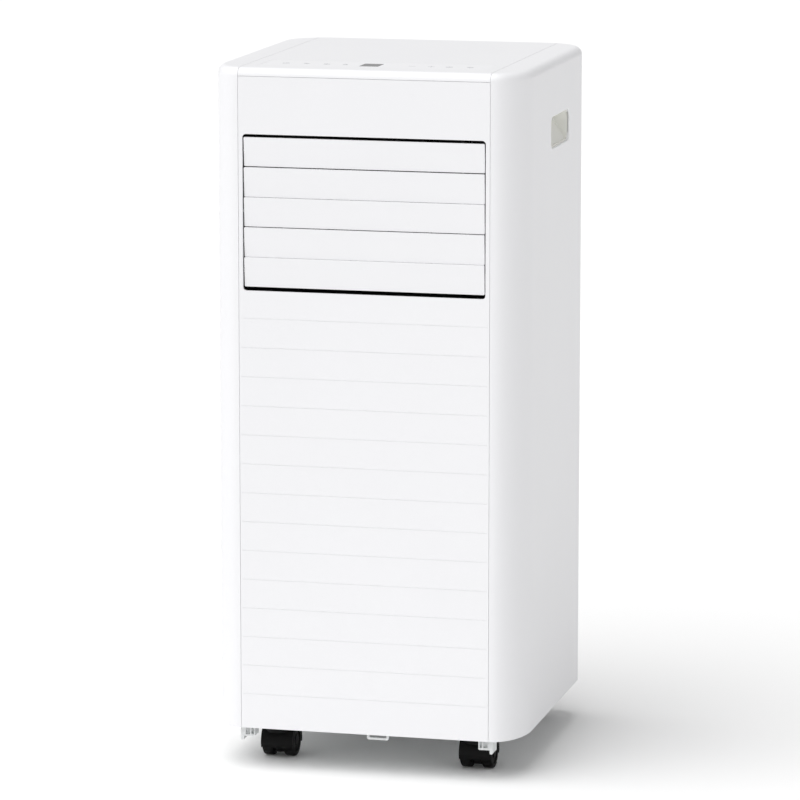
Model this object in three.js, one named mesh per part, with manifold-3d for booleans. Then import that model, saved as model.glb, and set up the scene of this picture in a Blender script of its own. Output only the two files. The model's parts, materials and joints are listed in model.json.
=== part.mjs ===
// A slim portable air conditioner, in millimetres: +X to its right as seen from the front,
// the front faces -Y, +Z is up, and the origin is on the floor under the middle of the casing.
import * as THREE from "three";
import { mergeVertices } from "three/addons/utils/BufferGeometryUtils.js";
import Module from "manifold-3d";

const wasm = await Module();
wasm.setup();

// ---------------------------------------------------------------- driving sizes

// casing
const width = 315;
const depth = 320;
const height = 700;
const floorGap = 42; // floor to the lower edge of the panels
const wall = 2.6;
const seam = 0.8; // open joint between two casing parts
const gap = 0.4; // clearance between fixed neighbours
const frontCornerX = 31.5; // how far the front corner's curve runs across the front
const frontCornerY = 56; // and along the side
const rearCorner = 45;
const topRound = 8;
const lipDrop = 8; // height of the top cover's lip on the front

// air outlet in the front panel
const outletWidth = 243;
const outletHeight = 154;
const outletTop = 64.7; // top of the opening, below the top of the casing
const outletCorner = 3;
const groovePitch = 29;
const grooveCount = 14;
const grooveFirst = 35; // lowest groove, above the panel's lower edge
const grooveWide = 1;
const grooveDeep = 0.7;
const grooveMargin = 2;

// horizontal blades
const bladeCount = 5;
const bladeThick = 2;
const bladeEndGap = 0.8;
const bladeTopGap = 2.5; // opening's edge to the top blade
const bladeBottomGap = 4;
const bladeSplit = 0.6; // gap between two blades
const bladeTilt = 4; // degrees, top edge forward, when shut
const bladeBehind = 1.2; // blades behind the casing's front face
const pivotBehind = 8; // pivot behind the blade's front face
const pivotRadius = 1.8;
const crankRadius = 1.5;
const crankArm = 8;
const crankAngle = -41; // degrees below straight back, when shut
const earThick = 2;
const pinPlay = 0.4;

// frame that carries the blades and the vanes
const frameWall = 2;
const frameSide = 6.4; // frame's inner side, outside the opening's edge
const frameFront = 4.8; // behind the casing's front face
const frameDepth = 70;

// upright vanes
const vaneCount = 6;
const vanePitch = 38;
const vaneChord = 24;
const vaneThick = 1.6;
const vaneBehind = 37; // vane pivot behind the casing's front face
const vaneEndGap = 5;
const vaneCrank = 9;

// handles in the sides
const handleFront = 133; // front end of the recess, behind the casing's front face
const handleLength = 87;
const handleTop = 56; // below the top of the casing
const handleHeight = 31.6;
const handleDepth = 22;
const handleCorner = 8;
const cupWall = 2;

// control panel in the top cover
const panelBehind = 53; // middle of the row of symbols, behind the front face
const overlayWidth = 226;
const overlayDepth = 56;
const overlayThick = 0.7;
const lensWidth = 19;
const lensDepth = 26;
const lensX = -5;
const lensThick = 4;

// base, casters
const trayFloor = 44; // underside of the tray's floor
const trayThick = 3;
const trayRim = 20;
const casterInX = 55.5; // swivel line, in from the side
const casterInY = 53; // and in from the front or rear
const casterTrail = 11;
const wheelRadius = 16;
const wheelWide = 11;
const wheelApart = 11; // gap between the two wheels of a caster
const axleRadius = 2.5;
const stemRadius = 5;
const hoodGap = 1.2;
const hoodWall = 1.8;
const swivelPlay = 0.4;
const socketHigh = 9;

// rear
const filterWidth = 200;
const filterHeight = 200;
const filterBottom = 440;
const exhaustZ = 335;
const exhaustRadius = 63;
const exhaustWall = 3;
const slotRows = 9;
const slotFirst = 98;
const slotPitch = 16;
const slotHigh = 7;
const slotWide = 92;
const slotBar = 8;
const drainRadius = 9;
const upperDrainX = 85;
const upperDrainZ = 405;
const lowerDrainX = 60;
const glandX = -82;
const glandZ = 300;
const glandRadius = 11;

// inside
const partitionZ = 418;
const partitionThick = 3;
const coilHalf = 112;
const coilRows = 5;
const pipeRadius = 4;
const voluteStart = 200; // degrees round the wheel, from straight out of the mouth
const voluteEnd = 450;

// ---------------------------------------------------------------- places that follow

const front = -depth / 2;
const rear = depth / 2;
const side = width / 2;
const casterX = side - casterInX;
const casterY = depth / 2 - casterInY;
const lowerDrainZ = trayFloor + trayThick + drainRadius - 2;
const panelHalf = side - frontCornerX - seam / 2;
const rearHalf = side - rearCorner - seam / 2;
const lipSeam = height - lipDrop;
const outletHigh = height - outletTop;
const outletLow = outletHigh - outletHeight;
const bladePitch = (outletHeight - bladeTopGap - bladeBottomGap) / bladeCount;
const bladeHalf = outletWidth / 2 - bladeEndGap;
const pivotY = front + bladeBehind + pivotBehind;
const frameHalf = outletWidth / 2 + frameSide;
const frameLow = outletLow - 0.5;
const frameHigh = outletHigh + 0.5;
const vaneY = front + vaneBehind;
const frameBack = front + frameFront + frameDepth;

const evaporator = { y0: rear - 46, y1: rear - 22, z0: partitionZ + partitionThick + 8, z1: 642 };
const condenser = { y0: rear - 42, y1: rear - 18, z0: 62, z1: 262 };

// ---------------------------------------------------------------- tools

const far = 2 * height; // well outside the object

// A closed geometry as a solid.
function solid(geometry) {
  const bare = geometry.clone();
  bare.deleteAttribute("normal");
  bare.deleteAttribute("uv");
  const merged = mergeVertices(bare, 1e-4);
  const mesh = new wasm.Mesh({
    numProp: 3,
    vertProperties: merged.attributes.position.array,
    triVerts: new Uint32Array(merged.index.array),
  });
  return new wasm.Manifold(mesh);
}

// A solid as a geometry.
function geometry(body) {
  const mesh = body.getMesh();
  const made = new THREE.BufferGeometry();
  const points = new Float32Array(mesh.numVert * 3);
  for (let i = 0; i < mesh.numVert; i++) {
    const from = i * mesh.numProp;
    points.set(mesh.vertProperties.subarray(from, from + 3), i * 3);
  }
  made.setAttribute("position", new THREE.BufferAttribute(points, 3));
  made.setIndex(new THREE.BufferAttribute(new Uint32Array(mesh.triVerts), 1));
  return made;
}

const join = (bodies) => bodies.reduce((all, body) => all.add(body));
const cut = (body, tools) => tools.reduce((left, tool) => left.subtract(tool), body);

function box(x0, x1, y0, y1, z0, z1) {
  const made = new THREE.BoxGeometry(x1 - x0, y1 - y0, z1 - z0);
  made.translate((x0 + x1) / 2, (y0 + y1) / 2, (z0 + z1) / 2);
  return solid(made);
}

// A round bar from one place to another along "x", "y" or "z"; its centre is the other two places.
function bar(axis, radius, from, to, a, b, sides = 16) {
  const made = new THREE.CylinderGeometry(radius, radius, to - from, sides);
  const middle = (from + to) / 2;
  if (axis === "x") {
    made.rotateZ(-Math.PI / 2);
    made.translate(middle, a, b);
  } else if (axis === "y") {
    made.translate(a, middle, b);
  } else {
    made.rotateX(Math.PI / 2);
    made.translate(a, b, middle);
  }
  return solid(made);
}

// A flat shape, drawn as (y, z), pushed along x.
function alongX(shape, x0, x1, curveSegments = 6) {
  const made = new THREE.ExtrudeGeometry(shape, {
    depth: x1 - x0,
    bevelEnabled: false,
    curveSegments,
  });
  made.rotateX(Math.PI / 2);
  made.rotateZ(Math.PI / 2);
  made.translate(x0, 0, 0);
  return solid(made);
}

// A flat shape, drawn as (x, y), pushed up.
function upwards(shape, z0, z1, curveSegments = 4) {
  const made = new THREE.ExtrudeGeometry(shape, {
    depth: z1 - z0,
    bevelEnabled: false,
    curveSegments,
  });
  made.translate(0, 0, z0);
  return solid(made);
}

function roundedRectangle(x0, x1, y0, y1, radius) {
  const shape = new THREE.Shape();
  shape.absarc(x1 - radius, y0 + radius, radius, -Math.PI / 2, 0);
  shape.absarc(x1 - radius, y1 - radius, radius, 0, Math.PI / 2);
  shape.absarc(x0 + radius, y1 - radius, radius, Math.PI / 2, Math.PI);
  shape.absarc(x0 + radius, y0 + radius, radius, Math.PI, 1.5 * Math.PI);
  shape.closePath();
  return shape;
}

// A duct piece that tapers from the rectangle [x0, x1, z0, z1] at y0 to another one at y1.
function taper(first, y0, second, y1) {
  const outline = (low, high) => {
    const shape = new THREE.Shape();
    shape.moveTo(y0, first[low]);
    shape.lineTo(y1, second[low]);
    shape.lineTo(y1, second[high]);
    shape.lineTo(y0, first[high]);
    shape.closePath();
    return shape;
  };
  const fromSide = alongX(outline(2, 3), -far, far);
  const fromAbove = alongX(outline(0, 1), -far, far).rotate([0, 90, 0]);
  return fromSide.intersect(fromAbove);
}

// A round tube along straight runs with eased corners.
function pipe(corners, radius, ease, steps) {
  const at = corners.map((place) => new THREE.Vector3(...place));
  const path = new THREE.CurvePath();
  let from = at[0];
  for (let i = 1; i < at.length - 1; i++) {
    const enter = at[i - 1].clone().sub(at[i]).setLength(ease).add(at[i]);
    const leave = at[i + 1].clone().sub(at[i]).setLength(ease).add(at[i]);
    path.add(new THREE.LineCurve3(from, enter));
    path.add(new THREE.QuadraticBezierCurve3(enter, at[i], leave));
    from = leave;
  }
  path.add(new THREE.LineCurve3(from, at[at.length - 1]));
  const section = new THREE.Shape().absarc(0, 0, radius, 0, 2 * Math.PI);
  const made = new THREE.ExtrudeGeometry(section, { extrudePath: path, steps, curveSegments: 3 });
  return solid(made);
}

// A turned piece: the profile is [radius, height] pairs, starting and ending on the axis.
function turned(profile, x, y, sides = 20) {
  const points = profile.map(([r, h]) => new THREE.Vector2(r, h));
  const made = new THREE.LatheGeometry(points, sides);
  made.rotateX(Math.PI / 2);
  made.translate(x, y, 0);
  return solid(made);
}

// ---------------------------------------------------------------- materials

const finish = {
  white: { color: 0xf1f1f2, roughness: 0.35, metalness: 0 },
  tray: { color: 0xe6e8e7, roughness: 0.5, metalness: 0 },
  black: { color: 0x101012, roughness: 0.5, metalness: 0 },
  lens: { color: 0x55565a, roughness: 0.15, metalness: 0 },
  board: { color: 0x1f5a35, roughness: 0.6, metalness: 0 },
  grey: { color: 0xa9abae, roughness: 0.6, metalness: 0 },
  steel: { color: 0xb9bcc0, roughness: 0.4, metalness: 1 },
  enamel: { color: 0x16171a, roughness: 0.4, metalness: 0 },
  copper: { color: 0xb87048, roughness: 0.3, metalness: 1 },
  aluminium: { color: 0xc9ccd0, roughness: 0.4, metalness: 1 },
  rubber: { color: 0x1c1c1d, roughness: 0.9, metalness: 0 },
  mesh: { color: 0x55585c, roughness: 0.8, metalness: 0 },
};

const unit = new THREE.Group();

// Adds a sub-part: a solid, its name and its finish. Where it has a place of its own, the mesh carries it.
function add(name, body, look, place = [0, 0, 0], tiltX = 0) {
  const mesh = new THREE.Mesh(geometry(body), new THREE.MeshStandardMaterial(finish[look]));
  mesh.name = name;
  mesh.position.set(...place);
  mesh.rotation.x = tiltX;
  unit.add(mesh);
  return mesh;
}

// ---------------------------------------------------------------- casing

// The casing's outline from above, moved inwards by inset.
function casingOutline(inset) {
  const halfX = side - inset;
  const halfY = depth / 2 - inset;
  const cornerX = frontCornerX - inset;
  const cornerY = frontCornerY - inset;
  const corner = rearCorner - inset;
  const shape = new THREE.Shape();
  shape.absellipse(halfX - cornerX, cornerY - halfY, cornerX, cornerY, -Math.PI / 2, 0);
  shape.absarc(halfX - corner, halfY - corner, corner, 0, Math.PI / 2);
  shape.absarc(corner - halfX, halfY - corner, corner, Math.PI / 2, Math.PI);
  shape.absellipse(cornerX - halfX, cornerY - halfY, cornerX, cornerY, Math.PI, 1.5 * Math.PI);
  shape.closePath();
  return shape;
}

// The casing as a full block with a rounded top edge, moved inwards by inset.
function casingBlock(inset) {
  const round = topRound - inset;
  const made = new THREE.ExtrudeGeometry(casingOutline(inset), {
    depth: height - floorGap - inset - round,
    bevelThickness: round,
    bevelSize: round,
    bevelOffset: -round,
    bevelSegments: 4,
    curveSegments: 4,
  });
  made.translate(0, 0, floorGap);
  return solid(made);
}

const above = box(-far, far, -far, far, floorGap, far);
const skin = casingBlock(0).intersect(above).subtract(casingBlock(wall));

// The upright opening for the outlet: a rounded rectangle in x and z, pushed along y.
function outletCutter(y0, y1) {
  const shape = roundedRectangle(-outletWidth / 2, outletWidth / 2, outletLow, outletHigh, outletCorner);
  const made = new THREE.ExtrudeGeometry(shape, {
    depth: y1 - y0,
    bevelEnabled: false,
    curveSegments: 2,
  });
  made.rotateX(Math.PI / 2);
  made.translate(0, y1, 0);
  return solid(made);
}

function frontPanel() {
  const region = box(-panelHalf, panelHalf, front - 1, front + wall + 1, floorGap, lipSeam - seam / 2);
  const grooves = [];
  for (let i = 0; i < grooveCount; i++) {
    const z = floorGap + grooveFirst + i * groovePitch;
    const reach = panelHalf - grooveMargin;
    const low = z - grooveWide / 2;
    grooves.push(box(-reach, reach, front - 1, front + grooveDeep, low, low + grooveWide));
  }
  return cut(skin.intersect(region), [outletCutter(front - 5, front + 5), ...grooves]);
}

// The handle recess: a wedge that is deepest under its roof, drawn as (y, z) outline and (x, z) profile.
function handleWedge(hand, grow) {
  const y0 = front + handleFront - grow;
  const y1 = y0 + handleLength + 2 * grow;
  const z1 = height - handleTop + grow;
  const z0 = z1 - handleHeight - 2 * grow;
  const outline = roundedRectangle(y0, y1, z0, z1, handleCorner + grow);
  const prism = alongX(outline, side - handleDepth - grow, side + 5, 3);
  const profile = new THREE.Shape();
  const flat = 5; // height of the deepest part of the recess
  profile.moveTo(side + 6, -z0 + grow);
  profile.lineTo(side - wall - 0.1, -z0 + grow);
  profile.lineTo(side - handleDepth - grow, -z1 + flat);
  profile.lineTo(side - handleDepth - grow, -z1 - 1);
  profile.lineTo(side + 6, -z1 - 1);
  profile.closePath();
  const made = new THREE.ExtrudeGeometry(profile, { depth: y1 - y0, bevelEnabled: false });
  made.rotateX(-Math.PI / 2);
  made.translate(0, y0, 0);
  const wedge = prism.intersect(solid(made));
  return hand > 0 ? wedge : wedge.mirror([1, 0, 0]);
}

function handleHole(hand) {
  const y0 = front + handleFront;
  const z1 = height - handleTop;
  const outline = roundedRectangle(y0, y0 + handleLength, z1 - handleHeight, z1, handleCorner);
  const hole = alongX(outline, side - 10, side + 5, 3);
  return hand > 0 ? hole : hole.mirror([1, 0, 0]);
}

function handleCup(hand) {
  const reach = side - wall - gap;
  const inside = box(-reach, reach, -far, far, 0, far);
  return handleWedge(hand, cupWall).intersect(inside).subtract(handleWedge(hand, 0));
}

function sideShell(hand) {
  const inner = side - frontCornerX + seam / 2;
  const main = box(inner, side + 1, front - 1, rear + 1, floorGap, height + 1);
  const back = box(rearHalf + seam, inner + 1, rear - rearCorner / 2, rear + 1, floorGap, lipSeam - seam / 2);
  const region = main.add(back);
  const placed = hand > 0 ? region : region.mirror([1, 0, 0]);
  return skin.intersect(placed).subtract(handleHole(hand));
}

function topCover() {
  const region = box(-panelHalf, panelHalf, front - 1, rear + 1, lipSeam + seam / 2, height + 1);
  const y = front + panelBehind;
  const recess = box(
    -overlayWidth / 2 - gap / 2,
    overlayWidth / 2 + gap / 2,
    y - overlayDepth / 2 - gap / 2,
    y + overlayDepth / 2 + gap / 2,
    height - overlayThick - 0.3,
    height + 1,
  );
  const window = box(
    lensX - lensWidth / 2 - gap,
    lensX + lensWidth / 2 + gap,
    y - lensDepth / 2 - gap,
    y + lensDepth / 2 + gap,
    height - 9,
    height + 1,
  );
  const posts = [];
  for (const x of [-80, 80]) {
    for (const dy of [-22, 22]) {
      posts.push(bar("z", 4, height - 24, height - wall + 0.2, x, y + dy, 10));
    }
  }
  return cut(join([skin.intersect(region), ...posts]), [recess, window]);
}

function controlOverlay() {
  const y = front + panelBehind;
  const film = upwards(
    roundedRectangle(-overlayWidth / 2, overlayWidth / 2, y - overlayDepth / 2, y + overlayDepth / 2, 4),
    height - overlayThick,
    height,
    3,
  );
  const window = box(
    lensX - lensWidth / 2 - gap,
    lensX + lensWidth / 2 + gap,
    y - lensDepth / 2 - gap,
    y + lensDepth / 2 + gap,
    height - 5,
    height + 5,
  );
  return film.subtract(window);
}

function displayLens() {
  const y = front + panelBehind;
  const x = lensX - lensWidth / 2;
  return box(x, x + lensWidth, y - lensDepth / 2, y + lensDepth / 2, height - lensThick, height);
}

function controlBoard() {
  const y = front + panelBehind;
  const plateTop = height - 24 - gap;
  const plate = box(-95, 95, y - 28, y + 28, plateTop - 1.6, plateTop);
  const moduleTop = height - lensThick - gap;
  const module = box(lensX - 9, lensX + 9, y - 9, y + 9, plateTop - 0.1, moduleTop);
  const relay = box(50, 68, y - 10, y + 8, plateTop - 0.1, plateTop + 12);
  return join([plate, module, relay]);
}

// ---------------------------------------------------------------- outlet: frame, blades, vanes

const bladeZ = (i) => outletHigh - bladeTopGap - (i + 0.5) * bladePitch;
const vaneX = (i) => (i - (vaneCount - 1) / 2) * vanePitch;

function louvreFrame() {
  const y0 = front + frameFront;
  const outer = frameHalf + frameWall;
  const tube = box(-outer, outer, y0, frameBack, frameLow - frameWall, frameHigh + frameWall);
  const bore = box(-frameHalf, frameHalf, y0 - 1, frameBack + 1, frameLow, frameHigh);
  const flangeY = front + wall + gap;
  const flanges = [
    box(-100, 100, flangeY, y0 + 2, frameHigh + frameWall - 0.1, frameHigh + frameWall + 7),
    box(-100, 100, flangeY, y0 + 2, frameLow - frameWall - 7, frameLow - frameWall + 0.1),
  ];
  const holes = [];
  for (let i = 0; i < bladeCount; i++) {
    holes.push(bar("x", pivotRadius + pinPlay, -outer - 1, outer + 1, pivotY, bladeZ(i), 8));
  }
  for (let i = 0; i < vaneCount; i++) {
    const low = frameLow - frameWall - 1;
    const high = frameHigh + frameWall + 1;
    holes.push(bar("z", pivotRadius + pinPlay, low, high, vaneX(i), vaneY, 8));
  }
  return cut(join([tube, ...flanges]), [bore, ...holes]);
}

// A blade about its own pivot line: the plate is in front, its ears and pins are at the ends.
function louvreBlade() {
  const half = bladePitch / 2 - bladeSplit / 2;
  const y0 = -pivotBehind;
  const plate = box(-bladeHalf, bladeHalf, y0, y0 + bladeThick, -half, half);
  const pinEnd = frameHalf + frameWall * 0.8;
  const angle = (crankAngle - bladeTilt) * (Math.PI / 180);
  const crankY = crankArm * Math.cos(angle);
  const crankZ = crankArm * Math.sin(angle);
  const pieces = [plate];
  for (const hand of [-1, 1]) {
    const inner = hand * (bladeHalf - earThick);
    const outer = hand * bladeHalf;
    const x0 = Math.min(inner, outer);
    const x1 = Math.max(inner, outer);
    const ear = new THREE.Shape();
    ear.moveTo(y0 + 1, 9);
    ear.lineTo(y0 + 1, -11);
    ear.lineTo(crankY + 1, crankZ - 2.6);
    ear.lineTo(crankY + 2.8, crankZ + 1);
    ear.lineTo(3, 4);
    ear.lineTo(-3, 9);
    ear.closePath();
    pieces.push(alongX(ear, x0, x1));
    const from = hand > 0 ? outer - 0.5 : -pinEnd;
    const to = hand > 0 ? pinEnd : outer + 0.5;
    pieces.push(bar("x", pivotRadius, from, to, 0, 0, 8));
  }
  const crankEnd = outletWidth / 2 + frameSide - 1;
  pieces.push(bar("x", crankRadius, bladeHalf - 0.5, crankEnd, crankY, crankZ, 8));
  return join(pieces);
}

// The link about the crank pin of the middle blade.
function louvreLink() {
  const x0 = outletWidth / 2 + 1;
  const reach = bladePitch * (bladeCount - 1) / 2;
  const strip = box(x0, x0 + 2, -2.6, 2.6, -reach - 5, reach + 5);
  const holes = [];
  for (let i = 0; i < bladeCount; i++) {
    const z = reach - i * bladePitch;
    holes.push(bar("x", crankRadius + pinPlay, x0 - 1, x0 + 3, 0, z, 8));
  }
  return cut(strip, holes);
}

// A vane about its own upright pivot line, from z = 0 at its middle.
function vane() {
  const half = (frameHigh - frameLow) / 2 - vaneEndGap;
  const blade = box(-vaneThick / 2, vaneThick / 2, -vaneChord / 2, vaneChord / 2, -half, half);
  const pinEnd = (frameHigh - frameLow) / 2 + frameWall * 0.8;
  const pin = bar("z", pivotRadius, -pinEnd, pinEnd, 0, 0, 8);
  const crank = bar("z", crankRadius, -half - 4, -half + 1, 0, vaneCrank, 8);
  const boss = bar("z", 2.4, -half, half, 0, 0, 8);
  return join([blade, pin, crank, boss]);
}

function vaneLink() {
  const reach = vanePitch * (vaneCount - 1) / 2;
  const low = frameLow + 1.2;
  const strip = box(-reach - 5, reach + 5, -2.6, 2.6, low, low + 2);
  const holes = [];
  for (let i = 0; i < vaneCount; i++) {
    holes.push(bar("z", crankRadius + pinPlay, low - 1, low + 3, vaneX(i), 0, 8));
  }
  return cut(strip, holes);
}

function louvreMotor() {
  const x1 = -frameHalf - frameWall - gap;
  const z = bladeZ(2);
  const can = bar("x", 8.5, x1 - 15, x1 - 2, pivotY + 21, z, 16);
  const plate = box(x1 - 2.1, x1, pivotY - 3, pivotY + 32, z - 11, z + 11);
  return join([can, plate]);
}

// ---------------------------------------------------------------- blowers

// A blower's volute, drawn as (y, z); way is -1 for a mouth towards the front and 1 for one towards the rear.
function volute({ y, z, small, large, mouth, way }, grow) {
  const shape = new THREE.Shape();
  const steps = 14;
  const mouthY = mouth + (grow > 0 ? 0 : way);
  const place = (share) => {
    const angle = ((voluteStart + (voluteEnd - voluteStart) * share) * Math.PI) / 180;
    const radius = small + (large - small) * share + grow;
    return [y - way * radius * Math.cos(angle), z + radius * Math.sin(angle)];
  };
  shape.moveTo(mouthY, place(0)[1]);
  for (let i = 0; i <= steps; i++) {
    shape.lineTo(...place(i / steps));
  }
  shape.lineTo(mouthY, z + large + grow);
  shape.closePath();
  return shape;
}

const shell = 2; // wall of a blower housing
const ductStep = 0.3;


function blowerHousing(blower) {
  const { half, y, z, inlet } = blower;
  const outer = alongX(volute(blower, shell), -half - shell, half + shell);
  const inner = alongX(volute(blower, 0), -half, half);
  const inlets = bar("x", inlet, -half - shell - 1, half + shell + 1, y, z, 20);
  return cut(outer, [inner, inlets]);
}

// The squirrel-cage wheel with its shaft, turning about x.
function blowerWheel(blower, bladeTotal) {
  const { half, y, z, small } = blower;
  const radius = small - 5;
  const long = half - 4;
  const pieces = [];
  for (const x of [-long, long - 4]) {
    const ring = bar("x", radius, x, x + 4, 0, 0, 20);
    pieces.push(ring.subtract(bar("x", radius - 9, x - 1, x + 5, 0, 0, 20)));
  }
  pieces.push(bar("x", radius - 1, -1.5, 1.5, 0, 0, 20));
  pieces.push(bar("x", 9, -9, 9, 0, 0, 16));
  pieces.push(bar("x", 4, -12, blower.shaftEnd, 0, 0, 12));
  for (let i = 0; i < bladeTotal; i++) {
    const made = new THREE.BoxGeometry(2 * long - 1, 9, 1.2);
    made.rotateX(0.5);
    made.translate(0, radius - 6, 0);
    made.rotateX((i * 2 * Math.PI) / bladeTotal);
    pieces.push(solid(made));
  }
  return join(pieces).translate([0, y, z]);
}

// A motor on three arms, which stand on the housing's side around the inlet.
function blowerMotor(blower) {
  const { half, y, z, inlet } = blower;
  const plateX = half + shell + gap;
  const backX = plateX + 16;
  const pieces = [bar("x", blower.motorRadius, backX, backX + blower.motorLong, 0, 0, 18)];
  for (let i = 0; i < 3; i++) {
    const arm = box(backX - 3, backX + 1, -5, 5, 0, inlet + 5);
    const leg = box(plateX, backX + 1, -5, 5, inlet + 1, inlet + 5);
    pieces.push(join([arm, leg]).rotate([i * 120 + blower.armTurn, 0, 0]));
  }
  const shaftHole = bar("x", 4.6, plateX - 1, blower.shaftEnd + 1, 0, 0, 10);
  return join(pieces).subtract(shaftHole).translate([0, y, z]);
}

// The upper blower fills the depth between the louvre frame's duct and the evaporator.
const ductLong = 37.2;
const coilClear = 18.3;
const voluteGrowth = 0.42; // widest radius over the narrowest, less one
const upperSmall = (evaporator.y0 - frameBack - ductLong - coilClear - 3) / (2 + 0.64 * voluteGrowth);
const upperMouth = frameBack + ductLong;

const upperBlower = {
  y: upperMouth + upperSmall + 1,
  z: 545,
  half: 72,
  small: upperSmall,
  large: upperSmall * (1 + voluteGrowth),
  inlet: upperSmall * 0.74,
  mouth: upperMouth,
  way: -1,
  shaftEnd: 108,
  motorRadius: 34,
  motorLong: 32,
  armTurn: 0,
};

const lowerBlower = {
  y: 0,
  z: 300,
  half: 38,
  small: 52,
  large: 74,
  inlet: 38,
  mouth: 68,
  way: 1,
  shaftEnd: 74,
  motorRadius: 32,
  motorLong: 30,
  armTurn: 60,
};

function ductBetween(first, y0, second, y1) {
  const grown = ([x0, x1, z0, z1]) => [x0 - shell, x1 + shell, z0 - shell, z1 + shell];
  const outer = taper(grown(first), y0, grown(second), y1);
  const slope = (a, b, i) => a[i] + (a[i] - b[i]) / (y1 - y0);
  const before = [0, 1, 2, 3].map((i) => slope(first, second, i));
  const after = [0, 1, 2, 3].map((i) => slope(second, first, i));
  return { outer, inner: taper(before, y0 - 1, after, y1 + 1) };
}

// The opening of a volute's mouth as a duct's end, a little inside its walls.
function mouthOf({ half, small, large, z }) {
  const floor = z + small * Math.sin((voluteStart * Math.PI) / 180);
  return [-half + ductStep, half - ductStep, floor + ductStep, z + large - ductStep];
}

function evapScroll() {
  const b = upperBlower;
  const inner = 1;
  const frameRect = [-frameHalf + inner, frameHalf - inner, frameLow + inner, frameHigh - inner];
  const duct = ductBetween(frameRect, frameBack + gap, mouthOf(b), b.mouth + 0.5);
  const floor = partitionZ + partitionThick + gap;
  const legs = [-50, 50].map((x) => box(x - 6, x + 6, b.y - 8, b.y + 8, floor, b.z - b.small - 4));
  const house = join([blowerHousing(b), ...legs]);
  return house.subtract(duct.inner).add(duct.outer.subtract(duct.inner));
}

function condScroll() {
  const b = lowerBlower;
  const low = exhaustZ - exhaustRadius + 4;
  const high = exhaustZ + exhaustRadius - 6;
  const ringRect = [-exhaustRadius, exhaustRadius, low, high];
  const duct = ductBetween(mouthOf(b), b.mouth - 0.5, ringRect, rear - 44);
  const top = b.z + b.large + 1;
  const hangers = [-24, 24].map((x) => box(x - 5, x + 5, b.y - 6, b.y + 6, top, partitionZ - gap));
  const house = join([blowerHousing(b), ...hangers]);
  return house.subtract(duct.inner).add(duct.outer.subtract(duct.inner));
}

// ---------------------------------------------------------------- refrigeration

const compressorPlace = [69.5 - side, front + 80];
const compressorFootZ = trayFloor + trayThick + gap;

function compressor() {
  const [x, y] = compressorPlace;
  const low = compressorFootZ + 16;
  const profile = [
    [0, low],
    [34, low],
    [48, low + 14],
    [50, low + 24],
    [50, low + 168],
    [46, low + 184],
    [30, low + 196],
    [0, low + 200],
  ];
  const pieces = [turned(profile, x, y)];
  for (let i = 0; i < 3; i++) {
    const foot = box(-9, 9, 30, 66, low - 5, low - 2);
    const rise = box(-9, 9, 20, 34, low - 5, low + 10);
    pieces.push(join([foot, rise]).rotate([0, 0, i * 120]).translate([x, y, 0]));
  }
  const cap = bar("z", 15, low + 190, low + 208, x + 22, y, 16);
  return join([...pieces, cap]);
}

function compressorFoot(i) {
  const [x, y] = compressorPlace;
  const angle = ((90 + i * 120) * Math.PI) / 180;
  const at = [x + 60 * Math.cos(angle), y + 60 * Math.sin(angle)];
  const top = compressorFootZ + 16 - 5 - gap;
  return bar("z", 9, compressorFootZ, top, ...at, 16);
}

const accumulatorPlace = [compressorPlace[0] - 34, compressorPlace[1] + 74];

function accumulator() {
  const [x, y] = accumulatorPlace;
  const profile = [
    [0, 108],
    [12, 110],
    [20, 120],
    [20, 212],
    [12, 222],
    [0, 224],
  ];
  const [cx, cy] = compressorPlace;
  const away = new THREE.Vector2(x - cx, y - cy).setLength(50.6);
  const neck = pipe([[x, y, 112], [x, y, 88], [cx + away.x, cy + away.y, 88]], 4, 8, 6);
  return join([turned(profile, x, y, 20), neck]);
}

// Height of a coil's tube, counted from the lowest.
const tubeZ = ({ z0, z1 }, row) => z0 + ((row + 0.5) * (z1 - z0)) / coilRows;

// A finned coil block between two end plates, with the ends of its tubes.
function coil(block) {
  const { y0, y1, z0, z1 } = block;
  const core = box(-coilHalf + 6, coilHalf - 6, y0 + 1.5, y1 - 1.5, z0 + 2, z1 - 2);
  const plates = [-1, 1].map((hand) => {
    const x = hand * (coilHalf - 5);
    return box(x - 1.2, x + 1.2, y0, y1, z0, z1);
  });
  const tubes = [];
  for (let row = 0; row < coilRows; row++) {
    tubes.push(bar("x", 4, -coilHalf, coilHalf, (y0 + y1) / 2, tubeZ(block, row), 6));
  }
  return join([core, ...plates, ...tubes]);
}


function dischargePipe() {
  const [x, y] = compressorPlace;
  const low = compressorFootZ + 16 + 200 + gap;
  const lane = -140;
  const coilY = (condenser.y0 + condenser.y1) / 2;
  const inletZ = tubeZ(condenser, coilRows - 1);
  const route = [
    [x, y, low],
    [x, y, low + 22],
    [lane, y, low + 22],
    [lane, coilY, low + 22],
    [lane, coilY, inletZ],
    [-coilHalf - gap, coilY, inletZ],
  ];
  return pipe(route, pipeRadius, 10, 26);
}

function suctionPipe() {
  const [x, y] = accumulatorPlace;
  const coilY = (evaporator.y0 + evaporator.y1) / 2;
  const outletZ = tubeZ(evaporator, 0);
  const lane = -coilHalf - 16;
  const route = [
    [x, y, 224 + gap],
    [x, y, outletZ],
    [lane, coilY, outletZ],
    [-coilHalf - gap, coilY, outletZ],
  ];
  return pipe(route, pipeRadius, 9, 22);
}

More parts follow.
